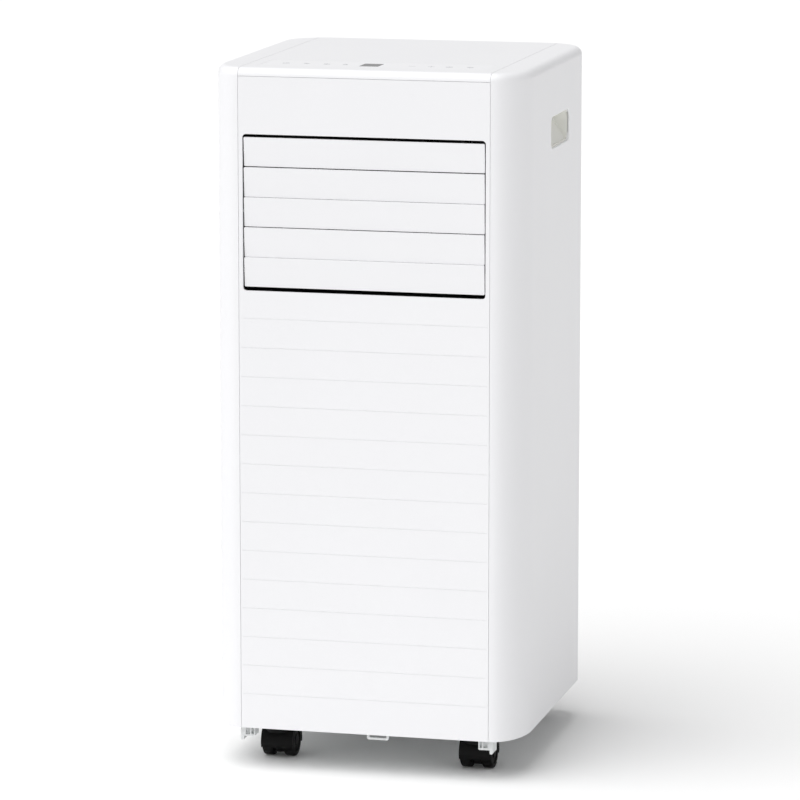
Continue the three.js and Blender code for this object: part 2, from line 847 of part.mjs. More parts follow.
function liquidPipe() {
  const low = tubeZ(condenser, 0);
  const high = tubeZ(evaporator, 0);
  const y0 = (condenser.y0 + condenser.y1) / 2;
  const y1 = (evaporator.y0 + evaporator.y1) / 2;
  const lane = coilHalf + 20;
  const route = [
    [coilHalf + gap, y0, low],
    [lane, y0, low],
    [lane, y0, partitionZ - 20],
    [lane, y1, partitionZ - 4],
    [lane, y1, high],
    [coilHalf + gap, y1, high],
  ];
  const drier = bar("z", 9, 150, 215, lane, y0, 14);
  return join([pipe(route, 3, 7, 26), drier]);
}

function midPartition() {
  const plate = upwards(casingOutline(wall + 1), partitionZ, partitionZ + partitionThick, 4);
  const e = evaporator;
  const top = partitionZ + partitionThick;
  const rim = box(-coilHalf - 4, coilHalf + 4, e.y0 - 6, e.y1 + 6, top - 0.1, top + 7);
  const well = box(-coilHalf - 2, coilHalf + 2, e.y0 - 4, e.y1 + 4, top, top + 8);
  const spoutLow = upperDrainZ - drainRadius;
  const left = upperDrainX - drainRadius;
  const spout = box(left, left + 2 * drainRadius, rear - 26, rear - wall - 1.8, spoutLow, partitionZ + 0.5);
  const rests = [-90, 90].map((at) => box(at - 6, at + 6, e.y0 + 2, e.y1 - 2, top - 0.5, e.z0 - gap));
  const [x, y] = accumulatorPlace;
  const lane = coilHalf + 20;
  const holes = [
    bar("y", drainRadius - 4, rear - 20, rear - 1, upperDrainX, upperDrainZ, 16),
    bar("z", 3, upperDrainZ, top + 1, upperDrainX, rear - 19, 10),
    bar("z", pipeRadius + 2, partitionZ - 1, top + 1, x, y, 12),
    bar("z", 3 + 2, partitionZ - 1, top + 1, lane, (e.y0 + e.y1) / 2, 12),
  ];
  return cut(join([plate, rim.subtract(well), spout, ...rests]), holes);
}

// ---------------------------------------------------------------- electrics

function controlBox() {
  const low = trayFloor + trayThick + socketHigh + 4;
  const [x0, x1] = [side - 119.5, side - 31.5];
  const body = box(x0, x1, front + 12, front + 52, low, 235);
  const inside = box(x0 + 2, x1 - 2, front + 14, front + 50, low + 2, 236);
  const foot = trayFloor + trayThick + gap;
  const legs = [x0 + 2, x1 - 10].map((x) => box(x, x + 8, front + 14, front + 50, foot, low + 1));
  return join([body.subtract(inside), ...legs]);
}

function capacitor() {
  const low = trayFloor + trayThick + gap;
  const profile = [
    [0, low],
    [17, low],
    [17, low + 62],
    [14, low + 64],
    [5, low + 64],
    [5, low + 70],
    [0, low + 70],
  ];
  return turned(profile, side - 77.5, front + 82, 20);
}

// ---------------------------------------------------------------- base and casters

function casterPlaces() {
  const places = [];
  for (const [end, y] of [["front", -casterY], ["rear", casterY]]) {
    for (const [hand, x] of [["left", -casterX], ["right", casterX]]) {
      places.push([end + "_" + hand, x, y]);
    }
  }
  return places;
}

// The moulded foot behind a front corner of the casing: a block with a deeper rib on its outside.
function cornerFoot(hand) {
  const y0 = front + 8;
  const block = box(114, 127, y0, y0 + 14, trayFloor - 13, trayFloor + 1);
  const rib = box(124, 128.5, y0 + 2, y0 + 17, trayFloor - 19, trayFloor + 1);
  const hollow = box(117, 123, y0 + 2.5, y0 + 11.5, trayFloor - 14, trayFloor - 1);
  const foot = block.subtract(hollow).add(rib);
  return hand > 0 ? foot : foot.mirror([1, 0, 0]);
}

function baseTray() {
  const top = trayFloor + trayThick;
  const block = upwards(casingOutline(wall + gap), trayFloor, top + trayRim, 4);
  const well = upwards(casingOutline(wall + gap + 2.4), top, top + trayRim + 1, 4);
  const pieces = [block.subtract(well), cornerFoot(-1), cornerFoot(1)];
  const holes = [];
  for (const [, x, y] of casterPlaces()) {
    pieces.push(bar("z", stemRadius + 4, top - 0.5, top + socketHigh, x, y, 16));
    holes.push(bar("z", stemRadius + swivelPlay, trayFloor - 1, top + socketHigh - 2, x, y, 12));
  }
  // the loop that the front panel's lower edge hooks into
  const loop = box(1, 25, front + 4, front + 6.4, 36.4, trayFloor + 1);
  const eye = box(3.4, 22.6, front + 3, front + 7, 38.6, 41.6);
  pieces.push(loop.subtract(eye));
  // drain spout at the rear, with its bore into the well
  pieces.push(bar("y", drainRadius - 1, rear - 17, rear - 4, lowerDrainX, lowerDrainZ, 16));
  holes.push(bar("y", drainRadius - 4, rear - 30, rear - 1, lowerDrainX, lowerDrainZ, 16));
  // rests for the condenser
  for (const x of [-80, 80]) {
    pieces.push(box(x - 5, x + 5, condenser.y0 + 2, condenser.y1 - 2, top - 0.5, condenser.z0 - gap));
  }
  return cut(join(pieces), holes);
}

// A caster's body about its swivel line: collar, stem, hood over the wheels, and the web between them.
function casterBody() {
  const hoodOut = wheelRadius + hoodGap + hoodWall;
  const hoodIn = wheelRadius + hoodGap;
  const halfWide = wheelApart / 2 + wheelWide;
  const axleY = casterTrail;
  const drum = bar("x", hoodOut, -halfWide, halfWide, axleY, wheelRadius, 20);
  const room = bar("x", hoodIn, wheelApart / 2 - 1.5, halfWide + 1, axleY, wheelRadius, 20);
  const keep = box(-halfWide, halfWide, axleY - hoodOut, axleY + hoodOut, wheelRadius - 5, 2 * hoodOut + 5);
  const web = bar("x", wheelRadius - 3, -wheelApart / 2 + 1.5, wheelApart / 2 - 1.5, axleY, wheelRadius, 16);
  const collar = bar("z", 11, wheelRadius + hoodIn - 6, trayFloor - 2.2, 0, 0, 14);
  const stem = bar("z", stemRadius, wheelRadius + 4, trayFloor + trayThick + socketHigh - 3, 0, 0, 12);
  const hood = cut(join([drum.intersect(keep), collar, stem]), [room, room.mirror([1, 0, 0])]);
  const axle = bar("x", axleRadius + swivelPlay, -halfWide - 1, halfWide + 1, axleY, wheelRadius, 10);
  return join([hood, web]).subtract(axle);
}

// A caster's two wheels on their axle, about the axle's middle.
function casterWheels() {
  const x0 = wheelApart / 2;
  const x1 = x0 + wheelWide;
  const edge = 2;
  const pieces = [bar("x", axleRadius, -x1 + 1, x1 - 1, 0, 0, 10)];
  const profile = [
    new THREE.Vector2(0, x0),
    new THREE.Vector2(wheelRadius - edge / 2, x0),
    new THREE.Vector2(wheelRadius, x0 + edge),
    new THREE.Vector2(wheelRadius, x1 - edge),
    new THREE.Vector2(wheelRadius - edge, x1),
    new THREE.Vector2(0, x1),
  ];
  const made = new THREE.LatheGeometry(profile, 20);
  made.rotateZ(-Math.PI / 2);
  const wheel = solid(made);
  pieces.push(wheel, wheel.mirror([1, 0, 0]));
  return join(pieces);
}

// ---------------------------------------------------------------- rear

const filterTop = filterBottom + filterHeight;

function exhaustRing() {
  const out = exhaustRadius + exhaustWall;
  const collar = bar("y", out, rear - 40, rear - gap, 0, exhaustZ, 32);
  const bore = bar("y", exhaustRadius, rear - 50, rear + 1, 0, exhaustZ, 32);
  const flange = box(-out - 4, out + 4, rear - 44 + gap, rear - 40, exhaustZ - out - 4, exhaustZ + out + 4);
  const hub = bar("y", 12, rear - 43, rear - 40, 0, exhaustZ, 16);
  const spokes = [];
  for (let i = 0; i < 3; i++) {
    const spoke = box(-1.5, 1.5, rear - 43, rear - 40, -exhaustRadius - 1, exhaustRadius + 1);
    spokes.push(spoke.rotate([0, i * 60, 0]).translate([0, 0, exhaustZ]));
  }
  const guard = [36].map((r) => {
    const ring = bar("y", r + 1, rear - 43, rear - 40, 0, exhaustZ, 18);
    return ring.subtract(bar("y", r - 1, rear - 44, rear - 39, 0, exhaustZ, 18));
  });
  return join([join([collar, flange]).subtract(bore), hub, ...spokes, ...guard]);
}

function rearPanel() {
  const region = box(-rearHalf, rearHalf, rear - wall - 1, rear + 1, floorGap, lipSeam - seam / 2);
  const plate = skin.intersect(region);
  const half = filterWidth / 2;
  const holes = [
    box(-half, half, rear - 10, rear + 5, filterBottom, filterTop),
    bar("y", exhaustRadius + exhaustWall + gap, rear - 10, rear + 5, 0, exhaustZ, 32),
    bar("y", drainRadius + gap, rear - 10, rear + 5, upperDrainX, upperDrainZ, 20),
    bar("y", drainRadius + gap, rear - 10, rear + 5, lowerDrainX, lowerDrainZ, 20),
    bar("y", glandRadius + gap, rear - 10, rear + 5, glandX, glandZ, 20),
  ];
  for (let row = 0; row < slotRows; row++) {
    const z = slotFirst + row * slotPitch;
    for (const x of [-(slotWide + slotBar) / 2, (slotWide + slotBar) / 2]) {
      holes.push(box(x - slotWide / 2, x + slotWide / 2, rear - 10, rear + 5, z, z + slotHigh));
    }
  }
  return cut(plate, holes);
}

function filterFrame() {
  const half = filterWidth / 2 - seam / 2;
  const low = filterBottom + seam / 2;
  const high = filterTop - seam / 2;
  const y0 = rear - 7;
  const y1 = rear - 0.3;
  const border = 9;
  const block = box(-half, half, y0, y1, low, high);
  const window = box(-half + border, half - border, y0 - 1, y1 + 1, low + border, high - border);
  const pieces = [block.subtract(window)];
  const slats = 8;
  const pitch = (high - low - 2 * border) / (slats + 1);
  for (let i = 1; i <= slats; i++) {
    const z = low + border + i * pitch;
    pieces.push(box(-half + border - 1, half - border + 1, y0, y1, z - 3, z + 3));
  }
  for (const x of [-30, 30]) {
    pieces.push(box(x - 1.5, x + 1.5, y0, y1 - 1, low + border - 1, high - border + 1));
  }
  return join(pieces);
}

function filterMesh() {
  const half = filterWidth / 2 - 5;
  return box(-half, half, rear - 8.6, rear - 7 - gap, filterBottom + 5, filterTop - 5);
}

// A rubber stopper with its head in the panel's hole and its plug in the spout.
function drainPlug(x, z, radius, plugRadius) {
  const head = bar("y", radius, rear - wall, rear - 0.4, x, z, 20);
  const plug = bar("y", plugRadius, rear - 15, rear - wall + 0.1, x, z, 12);
  return join([head, plug]);
}

function cordGland() {
  const flange = bar("y", glandRadius + 4, rear - wall - gap - 3, rear - wall - gap, glandX, glandZ, 20);
  const collar = bar("y", glandRadius, rear - wall - gap - 1, rear - 0.4, glandX, glandZ, 20);
  const bore = bar("y", 4.5, rear - 12, rear + 1, glandX, glandZ, 14);
  return join([flange, collar]).subtract(bore);
}

// ---------------------------------------------------------------- the unit

add("front_panel", frontPanel(), "white");
add("left_side_shell", sideShell(-1), "white");
add("right_side_shell", sideShell(1), "white");
add("rear_panel", rearPanel(), "white");
add("top_cover", topCover(), "white");
add("left_handle_cup", handleCup(-1), "grey");
add("right_handle_cup", handleCup(1), "grey");
add("base_tray", baseTray(), "tray");
add("control_overlay", controlOverlay(), "white");
add("display_lens", displayLens(), "lens");
add("control_board", controlBoard(), "board");

add("louvre_frame", louvreFrame(), "black");
const tilt = (bladeTilt * Math.PI) / 180;
for (let i = 0; i < bladeCount; i++) {
  add("louvre_blade_" + (i + 1), louvreBlade(), "white", [0, pivotY, bladeZ(i)], tilt);
}
const crankShut = (crankAngle * Math.PI) / 180;
const linkPlace = [
  0,
  pivotY + crankArm * Math.cos(crankShut),
  bladeZ((bladeCount - 1) / 2) + crankArm * Math.sin(crankShut),
];
add("louvre_link", louvreLink(), "black", linkPlace);
for (let i = 0; i < vaneCount; i++) {
  add("vane_" + (i + 1), vane(), "black", [vaneX(i), vaneY, (frameLow + frameHigh) / 2]);
}
add("vane_link", vaneLink(), "black", [0, vaneY + vaneCrank, 0]);
add("louvre_motor", louvreMotor(), "steel");

add("evap_scroll", evapScroll(), "grey");
add("evap_fan_wheel", blowerWheel(upperBlower, 10), "black");
add("evap_motor", blowerMotor(upperBlower), "steel");
add("cond_scroll", condScroll(), "grey");
add("cond_fan_wheel", blowerWheel(lowerBlower, 10), "black");
add("cond_motor", blowerMotor(lowerBlower), "steel");

add("compressor", compressor(), "enamel");
for (let i = 0; i < 3; i++) {
  add("compressor_foot_" + (i + 1), compressorFoot(i), "rubber");
}
add("accumulator", accumulator(), "enamel");
add("evaporator_coil", coil(evaporator), "aluminium");
add("condenser_coil", coil(condenser), "aluminium");
add("discharge_pipe", dischargePipe(), "copper");
add("suction_pipe", suctionPipe(), "copper");
add("liquid_pipe", liquidPipe(), "copper");
add("mid_partition", midPartition(), "grey");
add("control_box", controlBox(), "steel");
add("capacitor", capacitor(), "aluminium");

add("filter_frame", filterFrame(), "white");
add("filter_mesh", filterMesh(), "mesh");
add("exhaust_ring", exhaustRing(), "grey");
add("upper_drain_plug", drainPlug(upperDrainX, upperDrainZ, drainRadius, drainRadius - 4.4), "rubber");
add("lower_drain_plug", drainPlug(lowerDrainX, lowerDrainZ, drainRadius, drainRadius - 4.4), "rubber");
add("cord_gland", cordGland(), "rubber");

for (const [name, x, y] of casterPlaces()) {
  add("caster_" + name + "_body", casterBody(), "black", [x, y, 0]);
  add("caster_" + name + "_wheels", casterWheels(), "black", [x, y + casterTrail, wheelRadius]);
}

export default unit;
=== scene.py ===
import json
import math

import bmesh
import bpy
from bpy.props import FloatProperty, FloatVectorProperty, IntProperty, PointerProperty
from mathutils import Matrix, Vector


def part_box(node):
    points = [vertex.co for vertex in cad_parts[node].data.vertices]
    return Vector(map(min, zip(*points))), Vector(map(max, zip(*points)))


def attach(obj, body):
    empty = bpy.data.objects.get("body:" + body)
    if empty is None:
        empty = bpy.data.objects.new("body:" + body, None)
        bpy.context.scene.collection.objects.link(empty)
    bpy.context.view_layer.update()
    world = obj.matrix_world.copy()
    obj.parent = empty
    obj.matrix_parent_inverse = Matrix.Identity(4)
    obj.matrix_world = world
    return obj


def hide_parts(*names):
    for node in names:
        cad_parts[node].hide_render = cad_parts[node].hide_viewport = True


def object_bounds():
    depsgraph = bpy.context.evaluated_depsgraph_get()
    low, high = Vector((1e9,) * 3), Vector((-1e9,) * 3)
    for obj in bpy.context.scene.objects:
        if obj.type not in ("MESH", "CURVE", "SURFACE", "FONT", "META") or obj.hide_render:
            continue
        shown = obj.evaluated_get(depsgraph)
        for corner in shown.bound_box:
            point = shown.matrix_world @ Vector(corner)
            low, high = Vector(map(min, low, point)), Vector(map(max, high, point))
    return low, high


bl_info = {
    "name": "Portable air conditioner",
    "version": (1, 0, 0),
    "blender": (4, 5, 0),
    "location": "View3D > Sidebar > Air conditioner",
    "description": "Builds the casing, blades, casters and finishes of a slim portable air conditioner",
    "category": "Object",
}

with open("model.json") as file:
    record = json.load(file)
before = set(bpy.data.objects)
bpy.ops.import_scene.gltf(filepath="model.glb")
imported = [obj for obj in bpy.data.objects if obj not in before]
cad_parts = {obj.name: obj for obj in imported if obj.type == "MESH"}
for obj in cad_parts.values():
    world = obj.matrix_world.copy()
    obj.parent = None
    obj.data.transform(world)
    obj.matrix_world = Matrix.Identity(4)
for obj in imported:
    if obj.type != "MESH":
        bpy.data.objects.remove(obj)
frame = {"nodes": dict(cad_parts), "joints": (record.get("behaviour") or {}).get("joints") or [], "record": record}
CAD_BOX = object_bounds()

MM = 0.001
SIDE = CAD_BOX[1].x
FRONT = CAD_BOX[0].y
REAR = CAD_BOX[1].y
TOP = CAD_BOX[1].z
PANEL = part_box("front_panel")
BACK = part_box("rear_panel")
PANEL_HALF = PANEL[1].x
PANEL_FOOT = PANEL[0].z
LIP_SEAM = PANEL[1].z
BACK_HALF = BACK[1].x
JOINT_PLACE = {j["name"]: Vector(j["pos_m"]) for j in frame["joints"] if "pos_m" in j}
BODY_OF = {n: b for b, nodes in frame["record"]["behaviour"]["bodies"].items() for n in nodes}
CASTERS = ("front_left", "front_right", "rear_left", "rear_right")
OVERLAP = 0.2 * MM  # how far joined solids run into each other


def linear(code):
    """An sRGB hex value as linear red, green and blue."""
    parts = [int(code[i : i + 2], 16) / 255 for i in (0, 2, 4)]
    return tuple(p / 12.92 if p <= 0.04045 else ((p + 0.055) / 1.055) ** 2.4 for p in parts)


def length(name, default_mm, description):
    return FloatProperty(name=name, description=description, default=default_mm * MM, min=0.0, unit="LENGTH")


def colour(name, code, description):
    return FloatVectorProperty(
        name=name, description=description, default=linear(code), size=3, min=0.0, max=1.0, subtype="COLOR"
    )


class CasingSizes(bpy.types.PropertyGroup):
    wall: length("Wall", 2.6, "Thickness of the moulded panels")
    seam: length("Seam", 0.45, "Open joint between two panels")
    tongue_deep: length("Tongue depth", 1.0, "Depth of a joint's hidden tongue below the surface")
    tongue_reach: length("Tongue reach", 2.4, "How far a tongue runs behind the neighbouring panel")
    corner_across: length("Front corner across", 31.5, "How far the front corner runs across the front")
    corner_along: length("Front corner along", 56, "How far the front corner runs along the side")
    rear_corner: length("Rear corner", 45, "Radius of the rear corners")
    top_round: length("Top edge", 8, "Radius of the top edge")
    edge: length("Edge rounding", 0.15, "Rounding of the panels' cut edges")
    groove_first: length("First groove", 35, "Lowest groove above the front panel's lower edge")
    groove_pitch: length("Groove pitch", 29, "Distance between two grooves")
    groove_wide: length("Groove width", 0.8, "Width of a groove")
    groove_deep: length("Groove depth", 0.36, "Depth of a groove")
    groove_margin: length("Groove margin", 2, "Plain strip at a groove's ends")
    grooves: IntProperty(name="Grooves", description="Number of grooves across the front", default=14, min=1)


class OutletSizes(bpy.types.PropertyGroup):
    width: length("Width", 243, "Width of the outlet opening")
    height: length("Height", 154, "Height of the outlet opening")
    below_top: length("Below the top", 64.7, "Top of the opening below the top of the casing")
    corner: length("Corner", 3.5, "Corner radius of the opening")
    blade_thick: length("Blade thickness", 2, "Thickness of a blade's plate")
    blade_end_gap: length("Gap at the ends", 1.25, "Gap between a blade and the side of the opening")
    blade_pitch: length("Blade pitch", 29.5, "Distance between two blades' pivots")
    pivot_behind: length("Pivot", 8, "Pivot line behind a blade's front")
    tilt: FloatProperty(
        name="Tilt when shut",
        description="Forward lean of a shut blade",
        default=math.radians(4),
        subtype="ANGLE",
    )


class CasterSizes(bpy.types.PropertyGroup):
    wheel: length("Wheel radius", 16, "Radius of a wheel")
    wheel_wide: length("Wheel width", 11, "Width of one wheel")
    apart: length("Between wheels", 11, "Gap between the two wheels of a caster")
    axle: length("Axle radius", 2.5, "Radius of the axle")
    hood_gap: length("Hood gap", 1.2, "Gap between a wheel and the hood")
    hood_wall: length("Hood wall", 1.5, "Thickness of the hood")


class Colours(bpy.types.PropertyGroup):
    casing: colour("Casing", "F0F0F2", "White of the moulded casing")
    tray: colour("Base tray", "E4E6E6", "Milky white of the base tray")
    # the recess colour is the casing's white with a warm tint that is painted shade, taken from the shaded inside
    # of the handle cups
    recess: colour("Recess", "F1F1EC", "Warm pale grey of the handle cups")
    dark: colour("Dark plastic", "0A0A0A", "Black of the casters, frame and vanes")
    housing: colour("Housings", "A3A5A7", "Grey of the blower housings")
    lens: colour("Display", "3C3D40", "Smoked display window")
    ink: colour("Ink", "A4A6AA", "Grey of the printed symbols")
    rubber: colour("Rubber", "1B1B1C", "Black of the rubber parts")
    enamel: colour("Enamel", "141517", "Black of the compressor")
    copper: colour("Copper", "C27B55", "Drawn copper tube")
    floor: colour("Floor", "FBFBFB", "Pale studio floor")


# ---------------------------------------------------------------- modelling


def make_active(piece):
    bpy.ops.object.select_all(action="DESELECT")
    piece.select_set(True)
    bpy.context.view_layer.objects.active = piece


def place_in_mesh(piece):
    make_active(piece)
    bpy.ops.object.transform_apply(location=True, rotation=True, scale=True)


def block(name, low, high):
    """A box between two corners."""
    low, high = Vector(low), Vector(high)
    bpy.ops.object.select_all(action="DESELECT")
    bpy.ops.mesh.primitive_cube_add(size=1, location=(low + high) / 2)
    piece = bpy.context.object
    piece.name = piece.data.name = name
    piece.scale = high - low
    place_in_mesh(piece)
    return piece


def drum(name, axis, radius, start, end, centre, sides=48):
    """A round bar along X, Y or Z; centre is its place on the other two axes."""
    middle = (start + end) / 2
    place = {
        "X": (middle, *centre),
        "Y": (centre[0], middle, centre[1]),
        "Z": (*centre, middle),
    }[axis]
    turn = {"X": (0, math.pi / 2, 0), "Y": (math.pi / 2, 0, 0), "Z": (0, 0, 0)}[axis]
    bpy.ops.object.select_all(action="DESELECT")
    bpy.ops.mesh.primitive_cylinder_add(
        vertices=sides, radius=radius, depth=end - start, location=place, rotation=turn
    )
    piece = bpy.context.object
    piece.name = piece.data.name = name
    place_in_mesh(piece)
    return piece


def ring_bar(name, radius, thick, place):
    """A ring of round wire whose axis lies along Y."""
    bpy.ops.object.select_all(action="DESELECT")
    bpy.ops.mesh.primitive_torus_add(
        major_radius=radius,
        minor_radius=thick,
        major_segments=64,
        minor_segments=10,
        location=place,
        rotation=(math.pi / 2, 0, 0),
    )
    piece = bpy.context.object
    piece.name = piece.data.name = name
    place_in_mesh(piece)
    return piece


def choose(piece, kind, test):
    """Enters edit mode with the edges or faces selected that pass the test."""
    make_active(piece)
    bpy.ops.object.mode_set(mode="EDIT")
    bpy.ops.mesh.select_mode(type=kind)
    bpy.ops.mesh.select_all(action="DESELECT")
    mesh = bmesh.from_edit_mesh(piece.data)
    if kind == "EDGE":
        for edge in mesh.edges:
            edge.select_set(test(edge.verts[0].co, edge.verts[1].co))
    else:
        for face in mesh.faces:
            face.select_set(test(face.calc_center_median(), face.normal))
    bmesh.update_edit_mesh(piece.data)


def leave_edit():
    bpy.ops.object.mode_set(mode="OBJECT")


def near(a, b, by=0.05 * MM):
    return abs(a - b) < by


def along(axis, also=None):
    """A test for edges that run along one axis, and pass a second test at their middle."""
    run = "XYZ".index(axis)
    others = [i for i in range(3) if i != run]

    def test(a, b):
        straight = not near(a[run], b[run]) and all(near(a[i], b[i]) for i in others)
        return straight and (also is None or also((a + b) / 2))

    return test


def round_edges(piece, test, radius, steps):
    choose(piece, "EDGE", test)
    bpy.ops.mesh.bevel(offset=radius, segments=steps, affect="EDGES")
    leave_edit()


def remove_faces(piece, test):
    choose(piece, "FACE", test)
    bpy.ops.mesh.delete(type="FACE")
    leave_edit()


def trim(piece, axis, low=None, high=None, fill=False):
    """Keeps what lies between two planes across an axis."""
    normal = [float(letter == axis) for letter in "XYZ"]
    for value, side in ((low, "clear_inner"), (high, "clear_outer")):
        if value is None:
            continue
        choose(piece, "FACE", lambda centre, facing: True)
        bpy.ops.mesh.bisect(
            plane_co=[n * value for n in normal], plane_no=normal, use_fill=fill, **{side: True}
        )
        leave_edit()


def score(piece, axis, value):
    """Adds a line of edges where a plane crosses the piece."""
    normal = [float(letter == axis) for letter in "XYZ"]
    choose(piece, "FACE", lambda centre, facing: True)
    bpy.ops.mesh.bisect(plane_co=[n * value for n in normal], plane_no=normal)
    leave_edit()


def copy_of(piece, name):
    twin = piece.copy()
    twin.data = piece.data.copy()
    twin.name = twin.data.name = name
    bpy.context.collection.objects.link(twin)
    return twin


def modify(piece, kind, **settings):
    """Adds a modifier and applies it."""
    make_active(piece)
    modifier = piece.modifiers.new(kind.title(), kind)
    for key, value in settings.items():
        setattr(modifier, key, value)
    bpy.ops.object.modifier_apply(modifier=modifier.name)


def combine(piece, operation, others):
    """A Boolean with each of the others in turn, which are used up."""
    for other in others:
        modify(piece, "BOOLEAN", operation=operation, object=other, solver="MANIFOLD")
        bpy.data.objects.remove(other)
    return piece


def carve(piece, *cutters):
    return combine(piece, "DIFFERENCE", cutters)


def fuse(piece, *others):
    return combine(piece, "UNION", others)


def gather(name, pieces):
    """Several separate solids as one piece."""
    make_active(pieces[0])
    for piece in pieces:
        piece.select_set(True)
    bpy.ops.object.join()
    made = bpy.context.object
    made.name = made.data.name = name
    return made


def repeat(piece, count, step):
    modify(
        piece,
        "ARRAY",
        count=count,
        use_relative_offset=False,
        use_constant_offset=True,
        constant_offset_displace=step,
    )


def mirror_across_x(piece, name):
    twin = copy_of(piece, name)
    twin.scale.x = -1
    place_in_mesh(twin)
    face_outwards(twin)
    return twin


def face_outwards(piece):
    """Turns the faces of a closed piece round if they point inwards."""
    mesh = bmesh.new()
    mesh.from_mesh(piece.data)
    bmesh.ops.triangulate(mesh, faces=mesh.faces)
    volume = mesh.calc_volume(signed=True)
    mesh.free()
    if volume < 0:
        choose(piece, "FACE", lambda centre, facing: True)
        bpy.ops.mesh.flip_normals()
        leave_edit()


def move(piece, step):
    piece.location = step
    place_in_mesh(piece)
    return piece


def soften(piece, width, steps=2, angle=38):
    """Rounds the sharp edges a little and shades the rest smooth."""
    modify(
        piece,
        "BEVEL",
        width=width,
        segments=steps,
        limit_method="ANGLE",
        angle_limit=math.radians(angle),
        miter_outer="MITER_ARC",
        use_clamp_overlap=True,
    )
    shade(piece)


def smooth(piece, angle=40):
    make_active(piece)
    bpy.ops.object.shade_smooth_by_angle(angle=math.radians(angle))


def shade(piece):
    """Smooth shading that leaves the large flat faces flat."""
    smooth(piece)
    modify(piece, "WEIGHTED_NORMAL", keep_sharp=True, weight=80)


def settle(piece, body, slot, material, *nodes):
    """Gives a finished piece its material, its body and the CAD nodes that it stands for."""
    piece.data.materials.clear()
    piece.data.materials.append(material)
    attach(piece, body)
    if nodes:
        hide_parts(*nodes)


# ---------------------------------------------------------------- materials


def add(tree, kind, inputs=None, feeds=None, **settings):
    """Adds a node with its settings; inputs are values or sockets linked in, feeds are sockets linked to."""
    made = tree.nodes.new(kind)
    for key, value in settings.items():
        setattr(made, key, value)
    for key, value in (inputs or {}).items():
        if isinstance(value, bpy.types.NodeSocket):
            tree.links.new(value, made.inputs[key])
        else:
            made.inputs[key].default_value = value
    for key, socket in (feeds or {}).items():
        tree.links.new(made.outputs[key], socket)
    return made


def new_material(name, **values):
    """A material with its shader's values set, its node tree, shader and Object coordinates."""
    material = bpy.data.materials.new(name)
    material.use_nodes = True
    tree = material.node_tree
    shader = tree.nodes["Principled BSDF"]
    for key, value in values.items():
        shader.inputs[key.replace("_", " ")].default_value = value
    place = add(tree, "ShaderNodeTexCoord").outputs["Object"]
    return material, tree, shader, place


def shades(base, spread):
    """A darker and a lighter neighbour of a colour."""
    return [(*[min(1, c * k) for c in base], 1) for k in (1 - spread, 1 + spread)]


def surface(tree, shader, tone, grain, base, spread, roughness, relief=0.0, strength=0.5):
    """Lets one pattern drift the colour between two near shades, and another the gloss and the relief."""
    dark, light = shades(base, spread)
    colours = {0: tone, 6: dark, 7: light}
    add(tree, "ShaderNodeMix", colours, {2: shader.inputs["Base Color"]}, data_type="RGBA")
    low, high = roughness
    limits = {"Value": grain, "To Min": low, "To Max": high}
    add(tree, "ShaderNodeMapRange", limits, {0: shader.inputs["Roughness"]})
    if relief:
        heights = {"Height": grain, "Distance": relief, "Strength": strength}
        add(tree, "ShaderNodeBump", heights, {0: shader.inputs["Normal"]})


def wave_scale(pitch):
    """The Wave Texture's scale for bands this far apart: at scale 1 it draws 20 / (2 pi) bands per unit."""
    return 2 * math.pi / 20 / pitch


def moulded(name, tone, roughness, grain, depth, spread=0.012, strength=0.35):
    """Moulded plastic: the tool's fine texture, and slow drifts of tone and gloss."""
    material, tree, shader, place = new_material(name, IOR=1.53)
    base = getattr(bpy.context.scene.ac_colours, tone)
    clouds = {"Vector": place, "Scale": 1 / (110 * MM), "Detail": 3.0}
    cloud = add(tree, "ShaderNodeTexNoise", clouds).outputs[0]
    specks = {"Vector": place, "Scale": 1 / grain, "Detail": 2.0}
    pores = add(tree, "ShaderNodeTexNoise", specks).outputs[0]
    gloss = (roughness - 0.05, roughness + 0.05)
    surface(tree, shader, cloud, pores, base, spread, gloss, depth, strength)
    return material


def mottled(name, base, spread, roughness, patch, detail, relief=0.0, **values):
    """A finish whose colour, gloss and relief drift together, in patches of a given size."""
    material, tree, shader, place = new_material(name, **values)
    patches = {"Vector": place, "Scale": 1 / patch, "Detail": detail}
    drift = add(tree, "ShaderNodeTexNoise", patches).outputs[0]
    surface(tree, shader, drift, drift, base, spread, roughness, relief)
    return material


def white_abs():
    # Moulded ABS with the satin grain of a spark-eroded tool. The real grain is 0.1 mm across,
    # drawn at 0.9 mm so that it shows.
    return moulded("white_abs_spark_eroded", "casing", 0.42, 0.9 * MM, 0.03 * MM)


def blade_abs():
    # The same ABS from a finer tool: the blades look a little smoother than the panels.
    return moulded("white_abs_fine", "casing", 0.34, 0.7 * MM, 0.015 * MM)


def tray_polypropylene():
    # Natural polypropylene: milky and waxy, with light creeping into thin ribs.
    material = moulded("polypropylene_milky", "tray", 0.5, 1.4 * MM, 0.03 * MM)
    shader = material.node_tree.nodes["Principled BSDF"]
    shader.inputs["Subsurface Weight"].default_value = 0.25
    shader.inputs["Subsurface Radius"].default_value = (1.5 * MM, 1.5 * MM, 1.4 * MM)
    shader.inputs["IOR"].default_value = 1.49
    return material


def shade_tinted_recess_abs():
    # ABS inside the handles, rougher than the casing. Its colour is the casing's white with a slight warm tint,
    # and that tint is painted shade: it copies the shaded look inside the handle cups.
    return moulded("grey_white_abs_matte", "recess", 0.6, 1.1 * MM, 0.05 * MM)


def black_nylon():
    # Glass-filled nylon of the casters: deep black, semi-matte, with a fine fibre mottle.
    material = moulded("black_nylon", "dark", 0.55, 1.2 * MM, 0.05 * MM, 0.2)
    material.node_tree.nodes["Principled BSDF"].inputs["Specular IOR Level"].default_value = 0.15
    return material


def black_abs():
    # Black ABS of the blade frame and vanes, kept matte so that the duct looks dark.
    return moulded("black_abs_matte", "dark", 0.7, 1.0 * MM, 0.04 * MM, 0.15)


